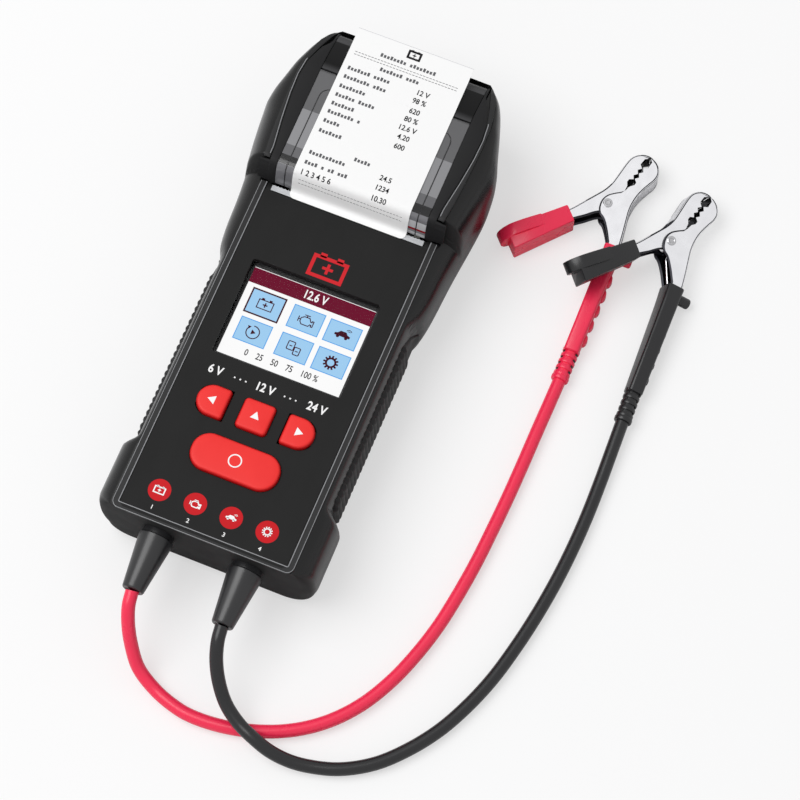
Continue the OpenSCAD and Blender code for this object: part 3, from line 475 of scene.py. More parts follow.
def clear_pane():
    """Display cover: all but clear, with faint smears in its gloss."""
    paint = Paint("screen_glass", Base_Color=(0.01, 0.01, 0.012), Specular_IOR_Level=0.3)
    return paint.put(Roughness=paint.noise(14, 3) * 0.06 + 0.06,
        Alpha=paint.noise(20, 2) * 0.01 + 0.02)


def smoked():
    """Dark clear acrylic in lighter and darker bands across the lid, with a moulded groove line: a
    rounded rectangle that runs over the lip. The band over the lip is a painted sheen, and pale
    and red strips on its right side are painted reflections."""
    paint = Paint("smoke_window", "smoke_window", Specular_IOR_Level=0.5)
    x, y, z = paint.axes()
    corner = ((abs(x) - 27.3).math("MAXIMUM", 0.0).math("POWER", 2.0)
        + (y - 87).math("MAXIMUM", 0.0).math("POWER", 2.0)).math("SQRT")
    groove = 1 - (abs(corner - 5) - 0.16).soft(0, 0.2)
    haze, fine = paint.noise(18, 3), paint.noise(0.8, 2)
    tint_and_sheen = paint.mix(haze, srgb(96, 96, 98), srgb(104, 104, 106))
    # bands across the lid; the one over the lip, y 40 to 49.6, is a painted sheen
    for low, high, colour in ((59.5, 78.5, (146, 146, 149)), (54.2, 59.5, (104, 104, 107)),
            (49.6, 54.2, (20, 20, 22)), (40, 49.6, (122, 122, 126))):
        tint_and_sheen = paint.mix(y.between(low, high), tint_and_sheen, srgb(*colour))
    # painted reflections, on the right side only: pale and red strips by height over the lip
    for low, high, colour in ((46.4, 48.8, (206, 207, 210)), (50.4, 51.8, (150, 20, 34)),
            (51.8, 56.2, (206, 207, 210))):
        tint_and_sheen = paint.mix(z.between(low, high) * (x > 0), tint_and_sheen, srgb(*colour))
    tint_and_sheen = paint.mix((y - 98.6).soft(0, 2), tint_and_sheen, srgb(34, 34, 36))
    paint.put(Base_Color=paint.mix(groove, tint_and_sheen, srgb(28, 28, 30)), Alpha=groove * 0.1 + 0.88,
        Roughness=fine * 0.05 + 0.12)
    return paint.bump(1 - groove, 0.15)


GLOSS, KEY, GLASS, WINDOW = gloss(), silicone(), clear_pane(), smoked()


def lead(name, route, finish):
    """Round lead swept along the smooth curve through its route, with its line and its length."""
    line = curve_through(route, 8)
    made = piece(name + "_cable", [swept(line, circle(LEAD_D / 2, 20))], finish, replaces=[name])
    return made, line * MM, steps_along(line).sum() * MM


def declare(made, line, length, colour):
    """Reads the start of the lead's line; made, length and colour are not used."""
    tuple(line[0])


RED_ROUTE = [[-BOOT_X, -154.1, BOOT_Z], [-20.6, -160.4, 27.2], [-18.2, -167.2, 21.9],
    [-14.2, -174, 14.5], [-8.6, -180.3, 7.6], [0.5, -185.3, 3.9], [9.5, -188.6, 3.3],
    [19.7, -190.6, 3.2], [36, -189.7, 3.2], [51.5, -185.8, 3.2], [65.9, -179.2, 3.2],
    [78.3, -169.9, 3.2], [88.8, -157.6, 3.2], [96.8, -143, 3.2], [102.6, -127.4, 3.2],
    [106.9, -111, 3.2], [109.6, -94.2, 3.2], [111.5, -77.2, 3.2], [112.6, -59.8, 3.2],
    [113.4, -42.4, 3.2], [113.8, -24.7, 3.2], [114, -7, 3.2], [114.3, 8, 3.3],
    [114.5, 19.4, 3.75]]
BLACK_ROUTE = [[BOOT_X, -154.1, BOOT_Z], [22.3, -160.4, 27.6], [24.4, -167.6, 23],
    [28.5, -175, 17.4], [34.7, -182, 12.6], [43, -187.4, 10], [51.2, -190.8, 9.2],
    [59.5, -193, 7], [68.5, -193.4, 4.6], [77.5, -192.2, 3.4], [91, -188.2, 3.2],
    [104.6, -180, 3.2], [115.8, -168.6, 3.2], [125.3, -155.2, 3.2], [132.6, -140.4, 3.2],
    [138.3, -124.7, 3.2], [142.4, -108.1, 3.2], [145.6, -91, 3.2], [148, -73, 3.2],
    [149.4, -55, 3.2], [149.9, -38, 3.2], [149.7, -21, 3.3], [149.2, -5, 4.1],
    [148.65, 10.9, 4.95]]
red_lead = lead("red_lead", RED_ROUTE, RED_RUBBER)
black_lead = lead("black_lead", BLACK_ROUTE, BLACK_RUBBER)


def boot(name, x):
    """Strain relief turned about the lead's axis: a short neck at the wall, then a shoulder of
    radius 8.2 from which a straight cone falls to 5.1, with a rolled rim round the lead."""
    profile = [(0, -0.5), (7.5, -0.5), (7.5, 2.6), (7.9, 2.75), (8.15, 3.2), (8.05, 4.2),
        (5.2, 27.6), (5.1, 28.3), (4.8, 28.8), (4.3, 29), (3.7, 28.9), (3.2, 28.5), (0, 28.5)]
    piece(name + "_sleeve", [turned(profile, (x, ENDS[0], BOOT_Z), (0, -1, 0), 72)], BOOT,
        replaces=[name], smooth=30)


boot("left_boot", -BOOT_X)
boot("right_boot", BOOT_X)


# ---- housing ----
top_hw = rail([(-130, 43.4), (46, 43.4), (50, 44), (60, 45.2), (73, 46), (90, 46.7), (101, 46.6),
    (109, 45.2), (116, 43.4), (121, 40.8), (124, 38.8), (126, 37)])
top_z = rail([(-130, DECK), (46.8, DECK), (49.2, DECK + 8), (52, ROOF), (100, ROOF),
    (108, ROOF - 1.4), (116, ROOF - 3.6), (126, ROOF - 7.5)])
ridge_hw = rail([(-130, 52.6), (-95, 52.6), (-89, 47), (2, 47), (12, 50.6), (22, 51.9), (33, 52.5),
    (43, 53.3), (53, 54.4), (63, 55.7), (73, 56.6), (80, 56.8), (86, 55.8), (93, 53.5), (103, 50.4),
    (113, 46.9), (118, 44.7), (123, 42.4), (126, 40.5)])
ridge_z = rail([(-130, 26), (40, 27), (60, 29), (73, 32), (83, 39), (93, 45), (103, 47), (113, 46),
    (120, 43.5), (126, 40)])
low_hw = rail([(-130, 50.4), (-95, 50.2), (-89, 45.4), (2, 45.4), (12, 48), (43, 50.4), (60, 52),
    (73, 52.8), (83, 51.5), (93, 48.6), (103, 45), (113, 41), (120, 38), (126, 34)])


def end_cut(y, radii):
    """How far a fillet of each end's radius draws the outline in at y."""
    return sum(np.where(d < r, r - np.sqrt(np.maximum(0, r * r - (r - d) ** 2)), 0)
        for r, d in zip(radii, (y - ENDS[0], ENDS[1] - y)))


def ridge_x(y):
    """Half width at the ridge, drawn in towards the ends."""
    return np.maximum(ridge_hw(y) - end_cut(y, PLAN_ROUNDS) * 0.9, top_hw(y) - 4)[:, None]


def upper_half(y):
    """From ridge to roof edge: x = a + (b - a) sin(t)^1.2 and z = z0 + h cos(t)^0.8."""
    t = np.radians(np.linspace(90, 0, 18))[None]
    a, b, z0 = top_hw(y)[:, None], ridge_x(y), ridge_z(y)[:, None]
    h = top_z(y)[:, None] - z0
    x, z = a + (b - a) * np.sin(t) ** 1.2, z0 + h * np.maximum(np.cos(t), 0) ** 0.8
    return surface(x + SKIN * np.sin(t), y[:, None], z + SKIN * np.cos(t))


def lower_half(y):
    """From ridge down a slightly bowed wall and a round of radius r to the flat back. A bell-shaped
    swelling, e^(-u^2) with u the distance from the rear screw posts over 6.5, widens the foot there
    and squares its round, so that it covers them."""
    swelling = np.exp(-((y - POST_Y) / 6.5) ** 2)[:, None]
    a, b = ridge_x(y), (low_hw(y) - end_cut(y, PLAN_ROUNDS) * 1.1)[:, None] + 1.6 * swelling
    z0, f = ridge_z(y)[:, None], end_cut(y, FOOT_ROUNDS)[:, None] * 0.9
    r = np.minimum(LOW_ROUND, (z0 - f) * 0.4) - 6.4 * swelling
    s = np.linspace(0, 1, 9)[None, :-1]
    t = np.radians(np.linspace(0, 90, 9))[None]
    wall_x = a + (b - a) * s + WALL_BOW * s * (1 - s)
    x = np.concatenate([wall_x + SKIN, b - r + (r + SKIN) * np.cos(t)], 1)
    z = np.concatenate([z0 + (f + r - z0) * s, f + r - r * np.sin(t)], 1)
    return surface(x, y[:, None], z)


def end_rows():
    """Stations that crowd towards both ends, where the corners round, and over the printer step."""
    reach = 16
    near = reach * (1 - np.cos(np.linspace(0, math.pi / 2, 26)))
    middle = np.arange(ENDS[0] + reach, ENDS[1] - reach, 1.6)
    step = np.arange(46.8, 52.2, 0.4)
    return np.unique(np.round(np.concatenate([ENDS[0] + near, middle, step, ENDS[1] - near]), 4))


def skin(name, half, bottom):
    """Smooth outer face of a half shell: both sides, the two end walls, which stand out by the
    skin's thickness, and the back's flat between the lower edges."""
    right = half(end_rows())
    left = right * (-1, 1, 1)
    parts = [grid(right, flip=not bottom), grid(left, flip=bottom)]
    k = np.linspace(0, 1, 7)[:, None, None]
    for row, side in ((0, -1), (-1, 1)):
        wall = right[None, row] * (1 - k) + left[None, row] * k + (0, SKIN * side, 0)
        wall[0], wall[-1] = right[row], left[row]
        parts.append(grid(wall, flip=(side > 0) == bottom))
    if bottom:
        k = k.reshape(1, -1, 1)
        parts.append(grid(right[:, -1:] * (1 - k) + left[:, -1:] * k))
    piece(name, parts, SHELL, smooth=40)


skin("front_skin", upper_half, False)
skin("back_skin", lower_half, True)


# ---- grips ----
RIB_PITCH, RIB_TALL = 3.4, 0.9
GRIP_Y, GRIP_Z, GRIP_WIDE = (-88, 8), 24, 30


def wall_at(y, z):
    """Half width of the smooth side wall at a station and a height: both half profiles, solved for
    x from z."""
    a, b, z0, low = top_hw(y), ridge_hw(y), ridge_z(y), low_hw(y)
    r = np.minimum(LOW_ROUND, z0 * 0.4)
    rise = np.clip((z - z0) / (top_z(y) - z0), 0, 1) ** 1.25
    s = np.clip((z0 - z) / (z0 - r), 0, 1)
    drop = np.clip((r - z) / r, 0, 1)
    upper = a + (b - a) * (1 - rise ** 2) ** 0.6
    lower = b + (low - b) * s + WALL_BOW * s * (1 - s) - r * (1 - np.sqrt(1 - drop ** 2))
    return np.where(z > z0, upper, lower) + SKIN


def grip(name, side):
    """Rubber pad on the waist: the wall's own curve pushed out by 0.85, with rounded ribs of height
    RIB_TALL |sin|^0.7 across the middle and a plain leaf-shaped tongue towards the printer."""
    start, stop = GRIP_Y
    y = np.linspace(start, stop, 700)[:, None]
    k = np.linspace(0, 1, 24)[None]
    tongue = np.clip((y + 4) / 12, 0, 1)
    span = np.where(y < start + 4, 0.55 + 0.3 * (y - start) / 4, 0.85 - 0.73 * tongue ** 1.4)
    z = GRIP_Z + (k - 0.5) * span * GRIP_WIDE
    rib = np.abs(np.sin(math.pi * (y - start) / RIB_PITCH)) ** 0.7
    ribbed = np.clip((-3 - y) / 2, 0, 1) * np.clip((y + 87.5) / 1.5, 0, 1)
    edge = np.clip(np.minimum(k, 1 - k) / 0.07, 0, 1) ** 0.5
    rim = np.clip(np.minimum(y - start, stop - y) / 1.2, 0, 1) ** 0.5
    x = wall_at(np.broadcast_to(y, z.shape), z) + edge * rim * (0.85 + ribbed * RIB_TALL * rib)
    piece(name + "_pad", [grid(surface(x * side, y, z), flip=side > 0)], GRIP, replaces=[name],
        smooth=60)


grip("right_grip", 1)
grip("left_grip", -1)


# ---- printer lid ----
LID_LINE = curve_through([(44.8, 46.5), (45.2, 49.5), (46, 53), (47.1, 56.4), (48.4, 58.7),
    (50, 59.75), (51.5, HEAD_Z)], 5)
LID_REST = [(56, HEAD_Z), (70, HEAD_Z), (85, HEAD_Z), (99, HEAD_Z), (104, HEAD_Z - 0.4),
    (108, HEAD_Z - 1.2), (114, HEAD_Z - 2.9), (118.4, HEAD_Z - 4.4), (121.4, HEAD_Z - 5.8),
    (123.4, HEAD_Z - 8), (124.4, HEAD_Z - 10), (124.6, HEAD_Z - 12)]
LID_TOP = np.vstack([LID_LINE, curve_through(LID_REST, 6)])


def lid_height(y):
    return np.interp(y, *LID_TOP.T)


def plan_x(line, y):
    return np.interp(y, *np.array(line).T)


def lid_panel(name, y0, y1, edge, finish, node):
    """The bent lid sheet between two stations along it, right across the lid."""
    thick = 1.45
    line = LID_TOP[(LID_TOP[:, 0] >= y0) & (LID_TOP[:, 0] <= y1)]
    band = np.vstack([line[::-1], line + normals_2d(line, closed=False) * thick])
    piece(name, [prism(band, -STRIP_HW, STRIP_HW, edge, across=True)], finish, "printer_lid",
        [node], smooth=28)


lid_panel("lid_window_pane", 44, 100.3, 0.25, WINDOW, "lid_window")
lid_panel("lid_cap_panel", 100.6, 130, 0.4, GLOSS, "lid_cap")


def lid_strip(name, inner, outer, finish, body):
    """Strip that follows the lid's top line between an inner and an outer plan line, on both sides;
    its top edges round by x = edge (1 - cos t), z = -edge (1 - sin t)."""
    y0, y1 = max(inner[0][0], outer[0][0]), min(inner[-1][0], outer[-1][0])
    y = np.unique(np.concatenate([LID_TOP[:, 0], np.arange(y0, y1, 2.0), [y0, y1]]))
    y = y[(y >= y0) & (y <= y1)]
    a, b = plan_x(inner, y)[:, None], plan_x(outer, y)[:, None]
    t, edge, low = np.radians(np.linspace(0, 90, 4))[None], 0.3, np.array([[-1.3]])
    draw, drop = edge * (1 - np.cos(t)), edge * (1 - np.sin(t))
    x = np.concatenate([a, a + draw, b - draw[:, ::-1], b], 1)
    z = np.concatenate([low, -drop, -drop[:, ::-1], low], 1) + (lid_height(y) + 0.1)[:, None]
    rings = surface(x, y[:, None], z)
    parts = [capped(rings * (side, 1, 1), flip=side < 0) for side in (1, -1)]
    piece(name, parts, finish, body, smooth=28)


ARM_IN = [(44.8, STRIP_HW + 0.15), (116, STRIP_HW + 0.15)]
ARM_OUT = [(44.8, 40.5), (49.4, 40.7), (56, 41), (63, 42), (70, 43), (77, 43.8), (84, 44.5),
    (94, 45), (102, 44.1), (107, 42.6), (112, 40.8), (116, 38.3)]
TRIM_IN = [(50, 41.3), (56, 41.5), (63, 42.5), (70, 43.5), (77, 44.3), (84, 45), (94, 45.4),
    (102, 44.7), (107, 43.5), (112, 42.1), (119, 39.9), (123.2, 38.5)]
TRIM_OUT = [(50, 43.9), (55, 44.6), (60, 45.2), (66, 45.6), (73, 46), (81, 46.4), (90, 46.7),
    (101, 46.6), (109, 45.2), (116, 43.4), (121, 40.8), (123.2, 39.3)]
lid_strip("lid_arms", ARM_IN, ARM_OUT, ARM, "printer_lid")
lid_strip("head_trim_band", TRIM_IN, TRIM_OUT, TRIM, "housing")


def bead(paths, radius):
    """Thin round lines carried along open paths."""
    return [swept(path, circle(radius, 8)) for path in paths]


def over_lid(line, y1, shift, rise):
    """Both sides of a plan line laid on the lid's top line, moved out by shift and up by rise."""
    y = np.linspace(52, y1, 60)
    path = surface(plan_x(line, y) + shift, y, lid_height(y) + rise)
    return [path, path * (-1, 1, 1)]


piece("head_trim_lines", bead(over_lid(TRIM_IN, 103, 0.3, 0.05), 0.2)
    + bead(over_lid(TRIM_OUT, 122, -0.2, -0.1), 0.13), TRIM_LINE)


# ---- face trim ----
def face_edge(offset, rise):
    """Line round the keypad face, offset out from the middle of its trim, down one side, round the
    lead end and up the other."""
    x, y = 41.85 + offset, -122.2
    turn = arc((39.9, -122.3), 1.95 + offset, 0, -90, 8)
    half = np.vstack([[(x, 44.2), (x, y)], turn[1:]])
    return at(DECK + rise, np.vstack([half, (half * (-1, 1))[::-1]]))


TRIM_BAR = np.array([(-1.5, 0.02), (1.5, 0.02), (1.5, 0.85), (1.3, 1.05), (-1.3, 1.05),
    (-1.5, 0.85)])
piece("face_trim_band", [swept(face_edge(0, 0), TRIM_BAR)], TRIM, replaces=["face_trim"], smooth=28)
piece("face_trim_lines", bead([face_edge(-1.3, 1.12)], 0.24) + bead([face_edge(1.3, 1.0)], 0.15),
    TRIM_LINE)


# ---- keys ----
def crowned(outline):
    """Key cap: straight sides, a rim of radius 1.5, and a dome that falls from its middle by 0.45
    times half the sum of the squares of the shares of half its width and half its depth."""
    centre, half = (outline.max(0) + outline.min(0)) / 2, (outline.max(0) - outline.min(0)) / 2
    out, edge, crown = normals_2d(outline), 1.5, 0.45
    t = np.radians(np.linspace(0, 90, 8))
    rings = [(outline - out * edge * (1 - math.cos(a)), edge * (1 - math.sin(a))) for a in t]
    rings += [(centre + (rings[-1][0] - centre) * k, 0) for k in np.linspace(1, 0, 10)[1:-1]]
    domed = [at(KEY_TOP - drop - crown * (((plan - centre) / half) ** 2).sum(1) / 2, plan)
        for plan, drop in rings]
    return capped(np.stack([at(KEY_BASE, outline)] + domed))


def right_key():
    """Half round on its outer side, with two small corners towards the middle."""
    h, r = HALF_KEY, 1.6
    x = ARROW_X - h + 1.9
    return np.vstack([arc((ARROW_X - 0.3, ARROW_Y), h, -90, 90, 30),
        arc((x, ARROW_Y + h - r), r, 90, 180, 5), arc((x, ARROW_Y - h + r), r, 180, 270, 5)])


UP = (-HALF_KEY, ARROW_Y - HALF_KEY, HALF_KEY, ARROW_Y + HALF_KEY)
ENTER = (-ENTER_W / 2, ENTER_Y - ENTER_H / 2, ENTER_W / 2, ENTER_Y + ENTER_H / 2)
for key, outline in (("left", (right_key() * (-1, 1))[::-1]), ("right", right_key()),
        ("up", rounded_rect(*UP, 2)), ("enter", rounded_rect(*ENTER, 8.4, 12))):
    piece(f"key_{key}_cap", [crowned(outline)], KEY, key + "_key", ["key_" + key], smooth=40)


# ---- print and signs ----
def at_height(z):
    """Placing function for print: plan points at one height."""
    return lambda plan: at(z, plan)


def ink(name, shapes, lay, finish, body="housing"):
    """Flat printed shapes, each an outline that the placing function lays on its surface."""
    parts = [(lay(shape), [list(range(len(shape)))]) for shape in shapes]
    piece(name, parts, finish, body, smooth=60, weld=False)


def ring_parts(centre, r0, r1, start=0, stop=360, pieces=12):
    """A flat ring as a row of sectors, so that no outline closes on itself."""
    bounds = np.linspace(start, stop, pieces + 1)
    return [np.vstack([arc(centre, r1, a, b, 4), arc(centre, r0, b, a, 4)])
        for a, b in zip(bounds, bounds[1:])]


def triangle(centre, size, turn):
    return arc(centre, size, turn, turn + 240, 2)


def box_2d(x0, y0, x1, y1):
    return np.array([(x0, y0), (x1, y0), (x1, y1), (x0, y1)], float)


def boxes(*corners):
    return [box_2d(*box) for box in corners]


def stroke(line, width):
    """Closed line of constant width as quads that share their mitred corners."""
    line = np.array(line, float)
    out = normals_2d(line) * width / 2
    a, b = line + out, line - out
    return [np.array(q)[::-1] for q in zip(a, np.roll(a, -1, 0), np.roll(b, -1, 0), b)]


def turned_by(degrees):
    """Matrix that turns rows of plan points anticlockwise."""
    a = math.radians(degrees)
    return np.array([[math.cos(a), math.sin(a)], [-math.sin(a), math.cos(a)]])


def placed(shapes, centre, size):
    return [s * size + centre for s in shapes]


def battery_sign(w=0.12):
    """Case outline with two posts, and a plus sign in it."""
    return stroke([(-0.9, -0.6), (0.9, -0.6), (0.9, 0.5), (-0.9, 0.5)], w) + boxes(
        (-0.65, 0.5, -0.3, 0.75), (0.3, 0.5, 0.65, 0.75), (-0.3, -0.13, 0.3, 0.03),
        (-0.08, -0.35, 0.08, -0.13), (-0.08, 0.03, 0.08, 0.25))


def engine_sign(w=0.12):
    """Plain outline of a block with a pulley side, a cover bar and a sump."""
    block = [(-0.65, -0.3), (-0.4, -0.6), (0.45, -0.6), (0.6, -0.35), (0.75, -0.35), (0.75, -0.55),
        (0.95, -0.55), (0.95, 0.15), (0.75, 0.15), (0.75, 0), (0.6, 0), (0.35, 0.4), (-0.3, 0.4),
        (-0.65, 0.15)]
    return stroke(block, w) + boxes((-0.35, 0.58, 0.35, 0.7), (-0.06, 0.4, 0.06, 0.58),
        (-0.98, -0.4, -0.86, 0.3), (-0.86, -0.11, -0.65, 0.01))


def car_sign():
    """Side view of a car body on two wheels, with two short waves above it."""
    body = np.array([(-0.95, -0.25), (0.95, -0.25), (0.95, 0.02), (0.6, 0.12), (0.35, 0.42),
        (-0.35, 0.42), (-0.62, 0.1), (-0.95, 0.02)])
    wheels = [arc((x, -0.3), 0.2, 0, 342, 12) for x in (-0.5, 0.52)]
    waves = [ring_parts((0.6, 0.45), r, r + 0.08, 30, 150, 4) for r in (0.32, 0.14)]
    return [body, *wheels, *waves[0], *waves[1]]


def again_sign():
    """Open circle with an arrow head, round a play triangle."""
    return ring_parts((0, 0), 0.72, 0.85, -215, 100, 14) + [triangle((-0.62, 0.52), 0.26, 150),
        triangle((0, 0), 0.36, 0)]


def pages_sign():
    """Two overlapping cards with a short line on each."""
    cards = (-0.85, -0.3, -0.02, 0.75), (0.08, -0.72, 0.8, 0.22)
    return [q for card in cards for q in stroke(rounded_rect(*card, 0.12, 3), 0.12)] + boxes(
        (-0.62, 0.15, -0.26, 0.27), (0.26, -0.32, 0.62, -0.2))


def gear_sign():
    """Ring with twelve square teeth."""
    tooth = box_2d(-0.11, 0.6, 0.11, 0.9)
    return ring_parts((0, 0), 0.42, 0.66) + [tooth @ turned_by(a) for a in range(0, 360, 30)]


def lettering(name, lines, lay, finish, body="housing", bold=0.0, cuts=0):
    """Numerals as flat faces; each line is (text, x, y, height, squeeze) round its middle, and cuts
    splits the faces so that they follow a bend."""
    parts = []
    for text, x, y, height, squeeze in lines:
        data = bpy.data.curves.new("numerals", "FONT")
        data.body, data.size, data.align_x, data.align_y = text, height * 1.42, "CENTER", "CENTER"
        data.resolution_u, data.offset, data.fill_mode = 3, bold * height, "FRONT"
        setting = bpy.data.objects.new("numerals", data)
        bpy.context.scene.collection.objects.link(setting)
        mesh = bpy.data.meshes.new_from_object(
            setting.evaluated_get(bpy.context.evaluated_depsgraph_get()))
        if cuts:
            work = bmesh.new()
            work.from_mesh(mesh)
            bmesh.ops.triangulate(work, faces=work.faces)
            bmesh.ops.subdivide_edges(work, edges=work.edges, cuts=cuts, use_grid_fill=True)
            work.to_mesh(mesh)
            work.free()
        points = np.empty(len(mesh.vertices) * 3)
        mesh.vertices.foreach_get("co", points)
        plan = points.reshape(-1, 3)[:, :2] * (squeeze, 1) + (x, y)
        parts.append((lay(plan), [list(p.vertices) for p in mesh.polygons]))
        bpy.data.objects.remove(setting)
        bpy.data.curves.remove(data)
        bpy.data.meshes.remove(mesh)
    piece(name, parts, finish, body, smooth=60, weld=False)


# ---- key and face legends ----
ON_KEY, ON_FACE = at_height(KEY_TOP + 0.04), at_height(FACE_Z + 0.05)
for key, x, y, turn in (("left", -20.8, ARROW_Y, 180), ("up", 0, ARROW_Y - 0.3, 90),
        ("right", 20.6, ARROW_Y, 0)):
    ink(key + "_arrow", [triangle((x, y), 2.4, turn)], ON_KEY, INK, key + "_key")
ink("enter_ring", ring_parts((0, ENTER_Y), 2.6, 3.2), ON_KEY, INK, "enter_key")
MARK_SIGNS = (battery_sign(0.22), engine_sign(0.2), car_sign(), gear_sign())
ink("mark_signs", [s for x, sign in zip(MARK_X, MARK_SIGNS)
    for s in placed(sign, (x, MARK_Y), 2.65)], at_height(FACE_Z + 0.06), INK)
lettering("mark_numbers", [(str(i + 1), x, -119.9, 2.0, 1.0) for i, x in enumerate(MARK_X)],
    ON_FACE, INK, bold=0.02)
lettering("voltage_scale", [(volts, x, -49.9, 4.0, 0.85)
    for volts, x in (("6 V", -25.5), ("12 V", -1.5), ("24 V", 23.5))], ON_FACE, INK, bold=0.035)
ink("voltage_ticks", [box_2d(x - 0.35, -50.25, x + 0.35, -49.55)
    for x in (-16.2, -13.5, -10.8, 8, 10.7, 13.4)], ON_FACE, INK)
ink("battery_badge", placed(battery_sign(0.2), (2, 14.6), 8.6), ON_FACE, RED_INK)


# ---- display ----
def screen(u0, v0, u1, v1):
    """Box on the display from fractions of its width and of its height counted from the top."""
    left, top = -LCD_W / 2, LCD_Y + LCD_H / 2
    return box_2d(left + u0 * LCD_W, top - v1 * LCD_H, left + u1 * LCD_W, top - v0 * LCD_H)


SCREEN_WHITE = glowing("screen_white", (1.0, 1.0, 1.0), 1.0)
SCREEN_TILE = glowing("screen_tile", srgb(168, 216, 255))
SCREEN_EDGE = glowing("screen_edge", srgb(88, 172, 244))
SCREEN_WINE = glowing("screen_wine", srgb(112, 8, 44))
SCREEN_INK = glowing("screen_ink", srgb(66, 6, 30))
SCREEN_BLACK = glowing("screen_black", srgb(14, 14, 18))
TILES = [(0.06, 0.22, 0.33, 0.49), (0.405, 0.23, 0.657, 0.48), (0.705, 0.238, 0.96, 0.482),
    (0.068, 0.552, 0.32, 0.803), (0.407, 0.557, 0.66, 0.808), (0.71, 0.56, 0.965, 0.81)]
DISPLAY_SIGNS = (battery_sign(), engine_sign(), car_sign(), again_sign(), pages_sign(), gear_sign())
for name, lift, finish, shapes in (
        ("sheet", 0.02, SCREEN_WHITE, [screen(0, 0, 1, 1)]),
        ("header", 0.03, SCREEN_WINE, [screen(0, 0.006, 1, 0.174)]),
        ("tiles", 0.03, SCREEN_TILE, [screen(*tile) for tile in TILES]),
        ("tile_edges", 0.04, SCREEN_EDGE,
            [q for tile in TILES[1:] for q in stroke(screen(*tile), 0.42)]),
        ("chosen_edge", 0.04, SCREEN_INK, stroke(screen(*TILES[0]), 0.75)),
        ("signs", 0.05, SCREEN_INK, [s for tile, sign in zip(TILES, DISPLAY_SIGNS)
            for s in placed(sign, screen(*tile).mean(0), 3.9)])):
    ink("display_" + name, shapes, at_height(LCD_Z + lift), finish)
HEADER_Y, SCALE_Y = LCD_Y + LCD_H * (0.5 - 0.09), LCD_Y + LCD_H * (0.5 - 0.905)
ON_DISPLAY = at_height(LCD_Z + 0.05)
lettering("display_reading", [("12.6 V", 1.5, HEADER_Y, 4.2, 0.75)], ON_DISPLAY, SCREEN_WHITE,
    bold=0.03)
lettering("display_scale", [("0    25    50    75    100 %", 0, SCALE_Y, 3.1, 0.78)], ON_DISPLAY,
    SCREEN_BLACK, bold=0.02)


# ---- receipt ----
SHEET_LINE = curve_through([(40.6, 46.42), (42.4, 46.42), (43.5, 46.75), (44.2, 47.7),
    (44.84, 49.9), (45.64, 53.3), (46.8, 56.75), (48.2, 59.1), (49.9, 60.15), (52, 60.42),
    (80, 60.47), (110, 60.62), (126, 60.92)], 6)
SHEET_RUN = np.concatenate([[0], np.cumsum(steps_along(SHEET_LINE))])


def on_receipt(lift):
    """Placing function: x across, and the second number a length up the sheet from its low end."""
    y, z = (SHEET_LINE - normals_2d(SHEET_LINE, closed=False) * lift).T
    return lambda plan: surface(plan[:, 0], np.interp(plan[:, 1], SHEET_RUN, y),
        np.interp(plan[:, 1], SHEET_RUN, z))


def receipt():
    """Paper strip along its bent line; its lower corners round off by r - sqrt(r^2 - (r - s)^2)."""
    r, half_sheet, columns = 2.4, 0.06, 9
    s = np.unique(np.concatenate([r * (1 - np.cos(np.linspace(0, math.pi / 2, 9))),
        SHEET_RUN[SHEET_RUN > r]]))
    s[0] = 0.001
    inset = np.where(s < r, r - np.sqrt(np.maximum(0, r * r - (r - s) ** 2)), 0)
    sides = []
    for way in (1, -1):
        x = (PAPER_HW - inset)[:, None] * np.linspace(-way, way, columns)
        plan = np.stack([x, np.broadcast_to(s[:, None], x.shape)], -1).reshape(-1, 2)
        sides.append(on_receipt(way * half_sheet)(plan).reshape(len(s), columns, 3))
    piece("receipt_sheet", [capped(np.concatenate(sides, 1))], PAPER, "printer_lid", ["receipt"],
        smooth=50)


def dashes(run):
    """Row of short dashes right across the receipt."""
    return [box_2d(x, run - 0.14, x + 1.15, run + 0.14) for x in np.arange(-25.6, 25, 1.6)]


def blocks(run, x0, counts):
    """Row of groups of plain blocks, as wide as characters and with every third one taller."""
    pitch, wide, tall = 1.62, 1.1, 1.9
    starts = [x0 + pitch * (i + sum(counts[:k]) + k)
        for k, n in enumerate(counts) for i in range(n)]
    return [box_2d(x, run - tall / 2, x + wide, run + tall * (0.5 if i % 3 == 0 else 0.28))
        for i, x in enumerate(starts)]


receipt()
PRINTED, SHEET_END = on_receipt(0.1), SHEET_RUN[-1]
ROWS = ((73.8, -25.6, [7, 5]), (69.1, -25.6, [8, 4]), (64, -25.6, [8]), (59.2, -25.6, [6, 5]),
    (54.5, -25.6, [7]), (50, -25.6, [8, 1]), (45, -25.6, [5]), (39.6, -25.6, [7]),
    (78.5, -11.5, [7, 4]), (85.4, -14, [8, 8]), (31.9, -5, [5]), (27.7, -25.4, [11]),
    (22.4, -25.4, [4, 1, 2, 3]))
FIGURES = (("12 V", 11.5, 73.8), ("98 %", 11.5, 69.4), ("620", 11.3, 64.1), ("80 %", 11.5, 59.5),
    ("12.6 V", 11.5, 54.8), ("4.20", 11.5, 50.1), ("600", 11.5, 45.1), ("24.5", 12, 27.8),
    ("1234", 12.2, 22.7), ("10.30", 12.6, 17.3), ("1 2 3 4 5 6", -18.2, 17.3))
for name, shapes, finish in (
        ("rules", [q for run in (12.9, 10.4, 82.6, 81.2) for q in dashes(run)], FAINT_PRINT),
        ("rows", [b for row in ROWS for b in blocks(*row)], FAINT_PRINT),
        ("badge", placed(battery_sign(0.34), (0.6, 90.7), 3.1), PRINT)):
    ink("receipt_" + name, shapes, PRINTED, finish, "printer_lid")
lettering("receipt_numbers", [(*figure, 2.6, 0.92) for figure in FIGURES], PRINTED, PRINT,
    "printer_lid", bold=0.03, cuts=2)
